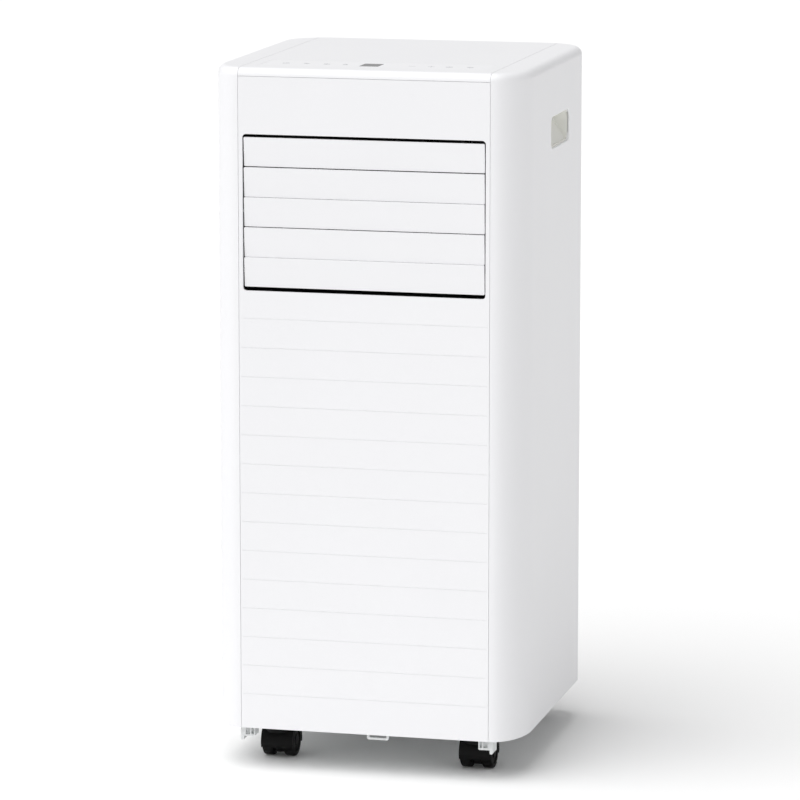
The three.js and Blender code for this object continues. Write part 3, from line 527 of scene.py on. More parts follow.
def housing_abs():
    # Regrind ABS of the blower housings: plain grey with flow marks.
    return moulded("grey_abs_regrind", "housing", 0.55, 2.5 * MM, 0.08 * MM, 0.05)


def film_polycarbonate():
    # Matte-printed polycarbonate film over the touch keys: casing white with a velvet grain.
    return moulded("polycarbonate_film", "casing", 0.46, 0.8 * MM, 0.01 * MM)


def rubber():
    # EPDM rubber: nearly black, dull, with a dusty bloom in slow patches.
    return moulded("epdm_rubber", "rubber", 0.82, 1.6 * MM, 0.08 * MM, 0.25)


def printed_ink():
    # Screen-printed ink: flat grey with the faint mesh of the screen.
    return moulded("screen_print_ink", "ink", 0.6, 0.6 * MM, 0.005 * MM, 0.05)


def smoked_lens():
    # Smoked polycarbonate: dark grey, with smears and a hard clear gloss over it.
    base = bpy.context.scene.ac_colours.lens
    coat = {"IOR": 1.58, "Coat_Weight": 0.6, "Coat_Roughness": 0.05}
    return mottled("smoked_polycarbonate", base, 0.08, (0.1, 0.22), 17 * MM, 4.0, **coat)


def black_enamel():
    # Stoved enamel over steel: gloss black with the orange peel of a dipped coat, about 3 mm across.
    base = bpy.context.scene.ac_colours.enamel
    coat = {"IOR": 1.5, "Coat_Weight": 0.4}
    return mottled("stoved_enamel", base, 0.15, (0.25, 0.4), 3 * MM, 1.0, 0.08 * MM, **coat)


def galvanised_steel():
    # Hot-dip zinc: grey metal broken into crystals of about 9 mm, each with its own sheen.
    material, tree, shader, place = new_material("galvanised_steel", Metallic=1.0)
    crystal = add(tree, "ShaderNodeTexVoronoi", {"Vector": place, "Scale": 1 / (9 * MM)}).outputs["Distance"]
    surface(tree, shader, crystal, crystal, linear("B4B7BA"), 0.12, (0.28, 0.46))
    return material


def zinc_screw():
    # Bright zinc plating on small screws, brushed by the driver.
    return mottled("bright_zinc", linear("C6C8CA"), 0.08, (0.2, 0.35), 0.8 * MM, 2.0, Metallic=1.0)


def drawn_copper():
    # Drawn copper tube: warm metal with handling stains some 20 mm long.
    base = bpy.context.scene.ac_colours.copper
    return mottled("drawn_copper", base, 0.18, (0.22, 0.42), 20 * MM, 5.0, Metallic=1.0)


def fin_aluminium():
    # Coil fins: mill-finish aluminium sheets 1.4 mm apart, drawn at 3 mm so that they show.
    material, tree, shader, place = new_material("aluminium_fins", Metallic=1.0)
    pitch = 3 * MM
    bands = {"Vector": place, "Scale": wave_scale(pitch)}
    fins = add(tree, "ShaderNodeTexWave", bands, bands_direction="X").outputs[0]
    surface(tree, shader, fins, fins, linear("BFC3C7"), 0.3, (0.3, 0.5), 0.5 * MM, 0.8)
    return material


def woven_nylon():
    # Filter net of dark nylon thread, 1 mm apart in the real one and drawn at 2.4 mm so that it shows.
    material, tree, shader, place = new_material("woven_nylon_net", IOR=1.53)
    bands = {"Vector": place, "Scale": wave_scale(2.4 * MM)}
    upright, level = [
        add(tree, "ShaderNodeTexWave", bands, bands_direction=way).outputs[0] for way in ("X", "Z")
    ]
    net = add(tree, "ShaderNodeMath", {0: upright, 1: level}, operation="MAXIMUM").outputs[0]
    surface(tree, shader, net, net, linear("4E5155"), 0.7, (0.6, 0.9), 0.4 * MM, 0.7)
    return material


def solder_mask():
    # Green solder mask on glass-epoxy board, with tracks showing as faint steps about 2 mm apart.
    material, tree, shader, place = new_material("solder_mask_board", IOR=1.55)
    tracks = add(
        tree, "ShaderNodeTexBrick", {"Vector": place, "Scale": 1 / (20 * MM), "Mortar Size": 0.02}
    ).outputs["Fac"]
    surface(tree, shader, tracks, tracks, linear("1E5B36"), 0.3, (0.25, 0.5))
    return material


def floor_paint():
    # Matte white cove paint: even, with a roller's faint stipple of about 4 mm.
    base = bpy.context.scene.ac_colours.floor
    return mottled("cove_paint_white", base, 0.004, (0.85, 0.95), 4 * MM, 2.0, IOR=1.45)


made_finishes = {}


def finish(maker):
    """The material that a function makes, made once."""
    if maker not in made_finishes:
        made_finishes[maker] = maker()
    return made_finishes[maker]


# ---------------------------------------------------------------- casing

CORNER_STEPS = 14
TOP_STEPS = 7
TONGUE_THICK = 1.2 * MM
PLAY = 0.15 * MM  # between a tongue and the rebate that it lies in
BAND_TIGHTER = 0.35 * MM
CUT_PAST = 2 * MM  # how far a cutter runs past what it cuts
CUT_IN = 9 * MM  # a cutter through a panel reaches this far inside it
CUT_OUT = 4 * MM  # and this far outside
HANDLE_CORNER = 8 * MM
HANDLE_ROUND = 0.9 * MM
CUP_WALL = 2 * MM
CUP_SKIN = 0.8 * CUP_WALL  # thickness of the cup as moulded, inside the room for it
SLOPE_STARTS = 0.6 * MM  # the cup's back leaves its mouth this far in
ROOF_DEEP = 5 * MM  # and meets its deepest wall this far under the roof
FILM_PLAY = 0.12 * MM
FILM_CORNER = 4 * MM
LENS_CORNER = 1.2 * MM
BED_DEEP = 0.4 * MM
INK_THICK = 0.05 * MM
FILM_TOP = TOP - 1.2 * INK_THICK


def column(name, inset, low, high):
    """A closed block with the casing's outline, moved inwards by inset."""
    sizes = bpy.context.scene.ac_casing
    across = sizes.corner_across - inset
    squeeze = across / (sizes.corner_along - inset)
    half = SIDE - inset
    front, rear = FRONT + inset, REAR - inset
    # the front corners are rounded on a squeezed block, and turn elliptical when it is let out
    piece = block(name, (-half, front * squeeze, low), (half, rear * squeeze, high))
    round_edges(piece, along("Z", lambda middle: middle.y < 0), across, CORNER_STEPS)
    piece.scale.y = 1 / squeeze
    place_in_mesh(piece)
    at_rear = along("Z", lambda middle: near(middle.y, rear) and near(abs(middle.x), half))
    round_edges(piece, at_rear, sizes.rear_corner - inset, CORNER_STEPS)
    return piece


def casing_skin(name, inset=0.0, foot=PANEL_FOOT):
    """The casing's outer surface moved inwards by inset, open at the bottom, with a rounded top edge."""
    top = TOP - inset
    # a band turns a little tighter than the panels, so that its edges never lie on theirs
    tighter = BAND_TIGHTER if inset else 0
    piece = column(name, inset, foot, top)
    at_top = lambda a, b: near(a.z, top) and near(b.z, top)
    round_edges(piece, at_top, bpy.context.scene.ac_casing.top_round - inset - tighter, TOP_STEPS)
    remove_faces(piece, lambda centre, facing: facing.z < -0.9)
    return piece


def give_wall(piece, thick=None):
    modify(
        piece,
        "SOLIDIFY",
        thickness=thick or bpy.context.scene.ac_casing.wall,
        offset=-1,
        use_even_offset=True,
    )


def joint_band(name, half, play, **keep):
    """A thin band behind the joint at x = half, for a panel's tongue or, with play, the rebate it lies in."""
    sizes = bpy.context.scene.ac_casing
    band = casing_skin(name, sizes.tongue_deep - play, PANEL_FOOT - CUT_PAST)
    trim(band, "X", half - sizes.tongue_reach - play, half + CUT_PAST)
    for axis, limits in keep.items():
        trim(band, axis, *limits)
    give_wall(band, TONGUE_THICK + (CUT_PAST if play else 0))
    return band


def side_rebates(half):
    """Cutters for the rebates in which the side shells' tongues lie, at both ends of a panel."""
    right = joint_band("rebate", half, PLAY)
    return [right, mirror_across_x(right, "rebate")]


def lip_bar(face, play):
    """The top cover's tongue behind the joint under its lip, or with play the rebate it lies in."""
    sizes = bpy.context.scene.ac_casing
    inwards = 1 if face < 0 else -1
    half = (PANEL_HALF if face < 0 else BACK_HALF) - sizes.tongue_reach - MM + play
    near_face = face + inwards * (sizes.tongue_deep - play)
    far_face = near_face + inwards * (TONGUE_THICK + (CUT_PAST if play else 0))
    low = LIP_SEAM - sizes.tongue_reach - play
    y0, y1 = sorted((near_face, far_face))
    return block("lip_bar", (-half, y0, low), (half, y1, LIP_SEAM + CUT_PAST))


def outlet_low_high():
    outlet = bpy.context.scene.ac_outlet
    high = TOP - outlet.below_top
    return high - outlet.height, high


class OBJECT_OT_ac_front_panel(bpy.types.Operator):
    """Front panel with the outlet opening and its fine horizontal grooves"""

    bl_idname = "object.ac_front_panel"
    bl_label = "Front panel"

    def execute(self, context):
        sizes, outlet = context.scene.ac_casing, context.scene.ac_outlet
        piece = casing_skin("front_panel_moulded")
        trim(piece, "X", -PANEL_HALF, PANEL_HALF)
        trim(piece, "Y", high=FRONT + sizes.top_round / 2)
        trim(piece, "Z", high=LIP_SEAM)
        give_wall(piece)
        low, high = outlet_low_high()
        half = outlet.width / 2
        opening = block("opening", (-half, FRONT - CUT_OUT, low), (half, FRONT + CUT_IN, high))
        round_edges(opening, along("Y"), outlet.corner, 4)
        reach = PANEL_HALF - sizes.groove_margin
        first = PANEL_FOOT + sizes.groove_first - sizes.groove_wide / 2
        groove = block(
            "groove",
            (-reach, FRONT - CUT_PAST, first),
            (reach, FRONT + sizes.groove_deep, first + sizes.groove_wide),
        )
        repeat(groove, sizes.grooves, (0, 0, sizes.groove_pitch))
        carve(piece, opening, groove)
        carve(piece, *side_rebates(PANEL_HALF), lip_bar(FRONT, PLAY))
        soften(piece, sizes.edge)
        settle(piece, "casing", "white_plastic", finish(white_abs), "front_panel")
        return {"FINISHED"}


class OBJECT_OT_ac_side_shells(bpy.types.Operator):
    """Side shells, which wrap over the top edge and round the corners, with their handle holes"""

    bl_idname = "object.ac_side_shells"
    bl_label = "Side shells"

    def execute(self, context):
        sizes = context.scene.ac_casing
        inner = PANEL_HALF + sizes.seam
        right = casing_skin("right_side_shell_moulded")
        trim(right, "X", low=BACK_HALF + sizes.seam)
        score(right, "X", inner)
        score(right, "Z", LIP_SEAM)
        behind = lambda centre: near(centre.y, REAR, sizes.rear_corner / 2) and centre.z < LIP_SEAM
        remove_faces(right, lambda centre, facing: centre.x < inner and not behind(centre))
        give_wall(right)
        at_back = REAR - sizes.rear_corner / 2
        # the tongues stop short of the panels' ends
        foot, head = PANEL_FOOT + MM, LIP_SEAM - 3 * MM
        side_tongue = joint_band("side_tongue", PANEL_HALF, 0, Z=(foot, None))
        back_tongue = joint_band("back_tongue", BACK_HALF, 0, Z=(foot, head), Y=(at_back, None))
        fuse(right, side_tongue, back_tongue)
        soften(right, sizes.edge)
        low, high = handle_hole()
        hole = block("hole", (SIDE - CUT_IN, low.y, low.z), (SIDE + CUT_OUT, high.y, high.z))
        round_edges(hole, along("X"), HANDLE_CORNER, 8)
        carve(right, hole)

        def on_mouth(v):
            beside = low.y - MM < v.y < high.y + MM and low.z - MM < v.z < high.z + MM
            return beside and near(v.x, SIDE)

        round_edges(right, lambda a, b: on_mouth(a) and on_mouth(b), HANDLE_ROUND, 3)
        shade(right)
        left = mirror_across_x(right, "left_side_shell_moulded")
        shade(left)
        settle(right, "casing", "white_plastic", finish(white_abs), "right_side_shell")
        settle(left, "casing", "white_plastic", finish(white_abs), "left_side_shell")
        return {"FINISHED"}


def handle_hole():
    """Corners of the handle recess in the right side, from the cup round it."""
    low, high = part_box("right_handle_cup")
    wall = Vector((CUP_WALL, CUP_WALL, CUP_WALL))
    return low + wall, high - wall


class OBJECT_OT_ac_handle_cups(bpy.types.Operator):
    """Sloping cups behind the handle holes"""

    bl_idname = "object.ac_handle_cups"
    bl_label = "Handle cups"

    def execute(self, context):
        low, high = handle_hole()
        mouth = SIDE - context.scene.ac_casing.wall
        right = block("right_handle_cup_moulded", low, (mouth, high.y, high.z))
        round_edges(right, along("X"), HANDLE_CORNER, 8)
        # the back slopes from the lower edge of the mouth to the deepest line under the roof
        foot = Vector((mouth - SLOPE_STARTS, 0, low.z))
        deepest = Vector((low.x, 0, high.z - ROOF_DEEP))
        run = deepest - foot
        facing_out = Vector((-run.z, 0, run.x)).normalized()
        choose(right, "FACE", lambda centre, facing: True)
        bpy.ops.mesh.bisect(plane_co=foot, plane_no=facing_out, use_fill=True, clear_outer=True)
        leave_edit()
        remove_faces(right, lambda centre, facing: near(centre.x, mouth) and facing.x > 0.9)
        on_slope = lambda v: near((v - foot).dot(facing_out), 0)
        round_edges(right, lambda a, b: on_slope(a) and on_slope(b), 1 * MM, 3)
        modify(right, "SOLIDIFY", thickness=CUP_SKIN, offset=1, use_even_offset=True)
        shade(right)
        left = mirror_across_x(right, "left_handle_cup_moulded")
        shade(left)
        # the cups' warm tint is painted shade: the plastic is the casing's white
        settle(right, "casing", "grey_plastic", finish(shade_tinted_recess_abs), "right_handle_cup")
        settle(left, "casing", "grey_plastic", finish(shade_tinted_recess_abs), "left_handle_cup")
        return {"FINISHED"}


class OBJECT_OT_ac_top_cover(bpy.types.Operator):
    """Top cover with its front and rear lips and the shallow bed of the control film"""

    bl_idname = "object.ac_top_cover"
    bl_label = "Top cover"

    def execute(self, context):
        sizes = context.scene.ac_casing
        piece = casing_skin("top_cover_moulded")
        trim(piece, "X", -PANEL_HALF, PANEL_HALF)
        trim(piece, "Z", low=LIP_SEAM + sizes.seam)
        give_wall(piece)
        carve(piece, gather("rebates", side_rebates(PANEL_HALF)))
        fuse(piece, gather("lips", [lip_bar(FRONT, 0), lip_bar(REAR, 0)]))
        low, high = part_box("control_overlay")
        play = Vector((FILM_PLAY, FILM_PLAY, 0))
        above, below = Vector((0, 0, CUT_OUT)), Vector((0, 0, CUT_PAST))
        bed = block("bed", low - play - Vector((0, 0, BED_DEEP)), high + play + above)
        round_edges(bed, along("Z"), FILM_CORNER + FILM_PLAY, 6)
        lens_low, lens_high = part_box("display_lens")
        window = block("window", lens_low - play - below, lens_high + play + above)
        carve(piece, bed, window)
        soften(piece, sizes.edge)
        settle(piece, "casing", "white_plastic", finish(white_abs), "top_cover")
        return {"FINISHED"}


class OBJECT_OT_ac_control_film(bpy.types.Operator):
    """Control film and the smoked window of the display"""

    bl_idname = "object.ac_control_film"
    bl_label = "Control film and display"

    def execute(self, context):
        low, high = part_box("control_overlay")
        film = block("control_film", low, (high.x, high.y, FILM_TOP))
        round_edges(film, along("Z"), FILM_CORNER, 6)
        lens_low, lens_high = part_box("display_lens")
        play = Vector((FILM_PLAY, FILM_PLAY, 0))
        window = block("window", lens_low - play, lens_high + play + Vector((0, 0, MM)))
        round_edges(window, along("Z"), LENS_CORNER, 4)
        carve(film, window)
        soften(film, 0.05 * MM, 1)
        settle(film, "casing", "white_plastic", finish(film_polycarbonate), "control_overlay")
        lens = block("display_window", lens_low, (lens_high.x, lens_high.y, FILM_TOP))
        round_edges(lens, along("Z"), LENS_CORNER, 4)
        soften(lens, 0.2 * MM, 2)
        settle(lens, "casing", "display_lens", finish(smoked_lens), "display_lens")
        return {"FINISHED"}


def ink_ring(radius, wide, x, y):
    outer = drum("ink", "Z", radius, FILM_TOP - INK_THICK, FILM_TOP + INK_THICK, (x, y), 32)
    inner = drum("hole", "Z", radius - wide, FILM_TOP - MM, FILM_TOP + MM, (x, y), 32)
    return carve(outer, inner)


def ink_bar(long, wide, x, y, turn=0.0):
    half = Vector((long / 2, wide / 2, INK_THICK))
    bar = block("ink", -half, half)
    bar.rotation_euler.z = turn
    bar.location = (x, y, FILM_TOP)
    place_in_mesh(bar)
    return bar


INK_WIDE = 0.7 * MM
SYMBOL = 3.4 * MM  # half a symbol's size


def power_symbol(x, y):
    gap = block("gap", (x - MM, y, FILM_TOP - MM), (x + MM, y + 2 * SYMBOL, FILM_TOP + MM))
    return [carve(ink_ring(SYMBOL, INK_WIDE, x, y), gap), ink_bar(INK_WIDE, SYMBOL, x, y + SYMBOL * 0.7)]


def snowflake_symbol(x, y):
    return [ink_bar(2 * SYMBOL, INK_WIDE, x, y, i * math.pi / 3) for i in range(3)]


def fan_symbol(x, y):
    turns = [i * 2 * math.pi / 3 for i in range(3)]
    arm = SYMBOL * 0.55
    ring = (SYMBOL * 0.52, INK_WIDE * 0.8)
    return [ink_ring(*ring, x + arm * math.cos(turn), y + arm * math.sin(turn)) for turn in turns]


def droplet_symbol(x, y):
    strokes = [ink_ring(SYMBOL * 0.7, INK_WIDE, x, y - MM)]
    for side in (-1, 1):
        lean = math.pi / 2 + side * 0.5
        strokes.append(ink_bar(SYMBOL, INK_WIDE, x + side * 0.28 * SYMBOL, y + 0.5 * SYMBOL, lean))
    return strokes


def less_symbol(x, y):
    return [ink_bar(2 * SYMBOL, INK_WIDE, x, y)]


def more_symbol(x, y):
    return less_symbol(x, y) + [ink_bar(INK_WIDE, 2 * SYMBOL, x, y)]


def clock_symbol(x, y):
    return [ink_ring(SYMBOL, INK_WIDE, x, y), ink_bar(INK_WIDE, SYMBOL * 0.7, x, y + SYMBOL * 0.3)]


def swing_symbol(x, y):
    return [ink_bar(1.8 * SYMBOL, INK_WIDE, x, y + step * 2 * MM) for step in (-1, 0, 1)]


SYMBOLS = {
    -91: power_symbol,
    -70: snowflake_symbol,
    -50: fan_symbol,
    -31: droplet_symbol,
    36: less_symbol,
    55: more_symbol,
    73: clock_symbol,
    94: swing_symbol,
}  # by their place across the top, in mm


class OBJECT_OT_ac_symbols(bpy.types.Operator):
    """Eight small generic symbols printed beside the display"""

    bl_idname = "object.ac_symbols"
    bl_label = "Printed symbols"

    def execute(self, context):
        low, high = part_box("control_overlay")
        y = (low.y + high.y) / 2 - 1 * MM
        strokes = [stroke for x, symbol in SYMBOLS.items() for stroke in symbol(x * MM, y)]
        symbols = gather("printed_symbols", strokes)
        smooth(symbols)
        settle(symbols, "casing", "grey_plastic", finish(printed_ink))
        return {"FINISHED"}


# ---------------------------------------------------------------- blades

# How far each blade's lower edge falls short, from the top: no two joints close alike.
BLADE_SHORT = (0.9 * MM, 0.28 * MM, 0.7 * MM, 0.18 * MM, 0.4 * MM)


BLADE_CORNER = 0.9 * MM
BLADE_GAP = 0.05 * MM  # between a blade's upper edge and the pitch line
RIB_SHORT = 6 * MM  # a rib ends this far inside its blade
RIB_DEEP = 2.5 * MM
RIB_HALF = 1 * MM
EAR_THICK = 2 * MM
EAR_HALF = 4.5 * MM
EAR_DEEP = 4 * MM
EAR_ROUND = 3.6 * MM
EAR_STEP = 0.02 * MM  # an ear's end lies this far inside the blade's
PIN_RADIUS = 1.8 * MM
CRANK_TURN = math.radians(-45)
CRANK_ARM = 8 * MM
CRANK_HALF = 2.4 * MM
CRANK_ROUND = 2.2 * MM
CRANK_STEP = 0.1 * MM  # a crank's sides lie this far inside its ear's
CRANK_PIN_RADIUS = 1.5 * MM
CRANK_PIN_SHORT = 2.6 * MM  # the crank pin ends this far before the pivot pin does


def louvre_blade(name, short):
    """A blade about its pivot line: plate, rib, an ear with a pin and a crank at each end, a crank pin."""
    outlet = bpy.context.scene.ac_outlet
    half_long = outlet.width / 2 - outlet.blade_end_gap
    half = outlet.blade_pitch / 2
    front = -outlet.pivot_behind
    back = front + outlet.blade_thick
    plate = block(name, (-half_long, front, -half + short), (half_long, back, half - BLADE_GAP))
    round_edges(plate, along("Y"), BLADE_CORNER, 3)
    rib_long = half_long - RIB_SHORT
    others = [block("rib", (-rib_long, back - OVERLAP, -RIB_HALF), (rib_long, back + RIB_DEEP, RIB_HALF))]
    pin_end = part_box(name.replace("_moulded", ""))[1].x
    for hand in (-1, 1):
        x0, x1 = sorted((hand * (half_long - EAR_THICK), hand * half_long - hand * EAR_STEP))
        ear = block("ear", (x0, back - OVERLAP, -EAR_HALF), (x1, EAR_DEEP, EAR_HALF))
        round_edges(ear, along("X", lambda middle: middle.y > 0), EAR_ROUND, 5)
        arm_high = (x1 - CRANK_STEP, CRANK_ARM + CRANK_HALF, CRANK_HALF)
        arm = block("arm", (x0 + CRANK_STEP, 0, -CRANK_HALF), arm_high)
        round_edges(arm, along("X", lambda middle: middle.y > MM), CRANK_ROUND, 5)
        arm.rotation_euler.x = CRANK_TURN
        place_in_mesh(arm)
        p0, p1 = sorted((hand * (half_long - MM), hand * pin_end))
        others += [ear, arm, drum("pin", "X", PIN_RADIUS, p0, p1, (0, 0), 24)]
    place = (CRANK_ARM * math.cos(CRANK_TURN), CRANK_ARM * math.sin(CRANK_TURN))
    crank_end = pin_end - CRANK_PIN_SHORT
    others.append(drum("crank_pin", "X", CRANK_PIN_RADIUS, half_long - MM, crank_end, place, 24))
    fuse(plate, *others)
    return plate


class OBJECT_OT_ac_blades(bpy.types.Operator):
    """Five horizontal blades, shut, each on its own pivot"""

    bl_idname = "object.ac_blades"
    bl_label = "Louvre blades"

    def execute(self, context):
        for i, short in enumerate(BLADE_SHORT):
            node = f"louvre_blade_{i + 1}"
            blade = louvre_blade(node + "_moulded", short)
            blade.rotation_euler.x = context.scene.ac_outlet.tilt
            pivot = JOINT_PLACE[node + "_turn"]
            blade.location = (0, pivot.y, pivot.z)
            place_in_mesh(blade)
            soften(blade, 0.15 * MM, 2)
            settle(blade, BODY_OF[node], "white_plastic", finish(blade_abs), node)
        return {"FINISHED"}


# ---------------------------------------------------------------- back


FILTER_PLAY = 0.4 * MM
PORT_HOLE = 66.4 * MM
DRAIN_HOLE = 9.4 * MM
GLAND_HOLE = 11.4 * MM
SLOT_ROWS = 17
SLOT_PITCH = 8 * MM
SLOT_FIRST = 98 * MM
SLOT_HIGH = 4 * MM
SLOT_BANKS = ((-96 * MM, -34 * MM), (-31 * MM, 31 * MM), (34 * MM, 96 * MM))
SCREW_HEIGHTS = (56 * MM, 236 * MM, 424 * MM, 662 * MM)
SCREW_FROM_EDGE = 6 * MM
SCREW_HEAD = 3.6 * MM
SINK_RADIUS = 4.2 * MM
SINK_DEEP = 1.3 * MM
HEAD_BACK = REAR - 1.25 * MM
HEAD_FACE = REAR - 0.15 * MM
CROSS_FLOOR = REAR - 0.9 * MM
CROSS_LONG = 2.2 * MM
CROSS_WIDE = 0.45 * MM
FILTER_BORDER = 9 * MM
FILTER_SLATS = 15
SLAT_HALF = 1.6 * MM
SLAT_RISE = 2.4 * MM
PORT_OUTER = 66 * MM
PORT_BORE = 63 * MM
FLANGE_THICK = 3.4 * MM
LUG_HALF = 7 * MM
WIRE_RADIUS = 1.1 * MM
GUARD_RINGS = (14 * MM, 26 * MM, 38 * MM, 50 * MM)
PLUG_RADIUS = 9 * MM
PLUG_THICK = 2.2 * MM
DISH_RADIUS = 7 * MM
DISH_DEEP = 1.2 * MM
GRIP_LONG = 6.5 * MM
GRIP_WIDE = 1.3 * MM
PLUG_STEM = 4.6 * MM
GLAND_FLANGE = 15 * MM
GLAND_COLLAR = 11 * MM
GLAND_BORE = 4.5 * MM


def middle_of(node):
    """The middle of a node's box across and upwards."""
    low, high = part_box(node)
    return ((low.x + high.x) / 2, (low.z + high.z) / 2)


def rear_hole(name, radius, node, sides):
    """A cutter for a round hole through the rear panel round a node's middle."""
    return drum(name, "Y", radius, REAR - CUT_IN, REAR + CUT_OUT, middle_of(node), sides)


def bar_slot(name, x0, x1, z0, high):
    """A cutter with round ends for a slot through the rear panel."""
    slot = block(name, (x0, REAR - CUT_IN, z0), (x1, REAR + CUT_OUT, z0 + high))
    round_edges(slot, along("Y"), high * 0.49, 4)
    return slot


def screw_places():
    edge = BACK_HALF - SCREW_FROM_EDGE
    return [(x, z) for x in (-edge, edge) for z in SCREW_HEIGHTS]


class OBJECT_OT_ac_rear_panel(bpy.types.Operator):
    """Rear panel with the filter opening, exhaust hole, air slots and drains"""

    bl_idname = "object.ac_rear_panel"
    bl_label = "Rear panel"

    def execute(self, context):
        sizes = context.scene.ac_casing
        piece = casing_skin("rear_panel_moulded")
        trim(piece, "X", -BACK_HALF, BACK_HALF)
        trim(piece, "Y", low=REAR - sizes.top_round / 2)
        trim(piece, "Z", high=LIP_SEAM)
        give_wall(piece)
        low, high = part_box("filter_frame")
        filter_hole = block(
            "filter_hole",
            (low.x - FILTER_PLAY, REAR - CUT_IN, low.z - FILTER_PLAY),
            (high.x + FILTER_PLAY, REAR + CUT_OUT, high.z + FILTER_PLAY),
        )
        round_edges(filter_hole, along("Y"), 3 * MM, 4)
        cutters = [
            filter_hole,
            rear_hole("port", PORT_HOLE, "exhaust_ring", 96),
            rear_hole("drain", DRAIN_HOLE, "upper_drain_plug", 48),
            rear_hole("drain", DRAIN_HOLE, "lower_drain_plug", 48),
            rear_hole("gland", GLAND_HOLE, "cord_gland", 48),
        ]
        for x0, x1 in SLOT_BANKS:
            slot = bar_slot("slot", x0, x1, SLOT_FIRST, SLOT_HIGH)
            repeat(slot, SLOT_ROWS, (0, 0, SLOT_PITCH))
            cutters.append(slot)
        for place in screw_places():
            cutters.append(drum("sink", "Y", SINK_RADIUS, REAR - SINK_DEEP, REAR + 3 * MM, place, 32))
        carve(piece, *cutters, *side_rebates(BACK_HALF), lip_bar(REAR, PLAY))
        soften(piece, sizes.edge)
        settle(piece, "casing", "white_plastic", finish(white_abs), "rear_panel")
        return {"FINISHED"}


class OBJECT_OT_ac_filter_frame(bpy.types.Operator):
    """Pull-off frame over the intake, with slats, ribs and two finger tabs"""

    bl_idname = "object.ac_filter_frame"
    bl_label = "Filter frame"

    def execute(self, context):
        low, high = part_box("filter_frame")
        border, slats = FILTER_BORDER, FILTER_SLATS
        piece = block("filter_frame_moulded", low, high)
        round_edges(piece, along("Y"), 2.6 * MM, 4)
        window = block(
            "window",
            (low.x + border, low.y - MM, low.z + border),
            (high.x - border, high.y + MM, high.z - border),
        )
        carve(piece, window)
        pitch = (high.z - low.z - 2 * border) / (slats + 1)
        first = low.z + border + pitch
        slat = block(
            "slat",
            (low.x + border - MM, low.y + 2.2 * MM, first - SLAT_HALF),
            (high.x - border + MM, high.y - 0.5 * MM, first + SLAT_HALF),
        )
        top_inner = along("X", lambda middle: middle.y < (low.y + high.y) / 2 and middle.z > first)
        choose(slat, "EDGE", top_inner)
        bpy.ops.transform.translate(value=(0, 0, SLAT_RISE))
        leave_edit()
        repeat(slat, slats, (0, 0, pitch))
        ribs = []
        for x in (-50, 0, 50):
            rib_low = ((x - 1.2) * MM, low.y + MM, low.z + border - MM)
            rib_high = ((x + 1.2) * MM, low.y + 4.4 * MM, high.z - border + MM)
            ribs.append(block("rib", rib_low, rib_high))
        tabs = []
        for x in (-62, 62):
            tab_low = ((x - 14) * MM, high.y - 1.2 * MM, high.z - 6.5 * MM)
            tab_high = ((x + 14) * MM, high.y + MM, high.z - 3 * MM)
            tabs.append(block("tab", tab_low, tab_high))
        fuse(piece, slat, *ribs)
        carve(piece, *tabs)
        soften(piece, 0.3 * MM, 2)
        settle(piece, BODY_OF["filter_frame"], "white_plastic", finish(white_abs), "filter_frame")
        return {"FINISHED"}


class OBJECT_OT_ac_exhaust_ring(bpy.types.Operator):
    """Round exhaust port: collar, flange, bayonet lugs and a wire guard at its inner end"""

    bl_idname = "object.ac_exhaust_ring"
    bl_label = "Exhaust port"

    def execute(self, context):
        low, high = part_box("exhaust_ring")
        middle = middle_of("exhaust_ring")
        outer, bore = PORT_OUTER, PORT_BORE
        piece = drum("exhaust_port_moulded", "Y", outer, low.y + OVERLAP, high.y, middle, 96)
        flange = block("flange", (low.x, low.y, low.z), (high.x, low.y + FLANGE_THICK, high.z))
        round_edges(flange, along("Y"), 6 * MM, 5)
        fuse(piece, flange)
        carve(piece, drum("bore", "Y", bore, low.y - MM, high.y + MM, middle, 96))
        lugs = []
        for i in range(3):
            lug_high = (LUG_HALF, high.y - 9 * MM, bore + MM)
            lug = block("lug", (-LUG_HALF, high.y - 12 * MM, bore - 2.5 * MM), lug_high)
            lug.rotation_euler.y = math.radians(120 * i + 30)
            place_in_mesh(lug)
            lugs.append(move(lug, (middle[0], 0, middle[1])))
        fuse(piece, *lugs)
        soften(piece, 0.4 * MM, 2)
        settle(piece, "casing", "grey_plastic", finish(shade_tinted_recess_abs), "exhaust_ring")
        depth = low.y + 1.5 * MM
        centre = (middle[0], depth, middle[1])
        wires = [ring_bar("wire", radius, WIRE_RADIUS, centre) for radius in GUARD_RINGS]
        for i in range(4):
            wire = drum("wire", "Z", WIRE_RADIUS, -bore - MM, bore + MM, (0, depth), 12)
            wire.rotation_euler.y = math.radians(45 * i)
            place_in_mesh(wire)
            wires.append(move(wire, (middle[0], 0, middle[1])))
        guard = gather("exhaust_guard", wires)
        smooth(guard)
        settle(guard, "casing", "plated_steel", finish(zinc_screw))
        return {"FINISHED"}


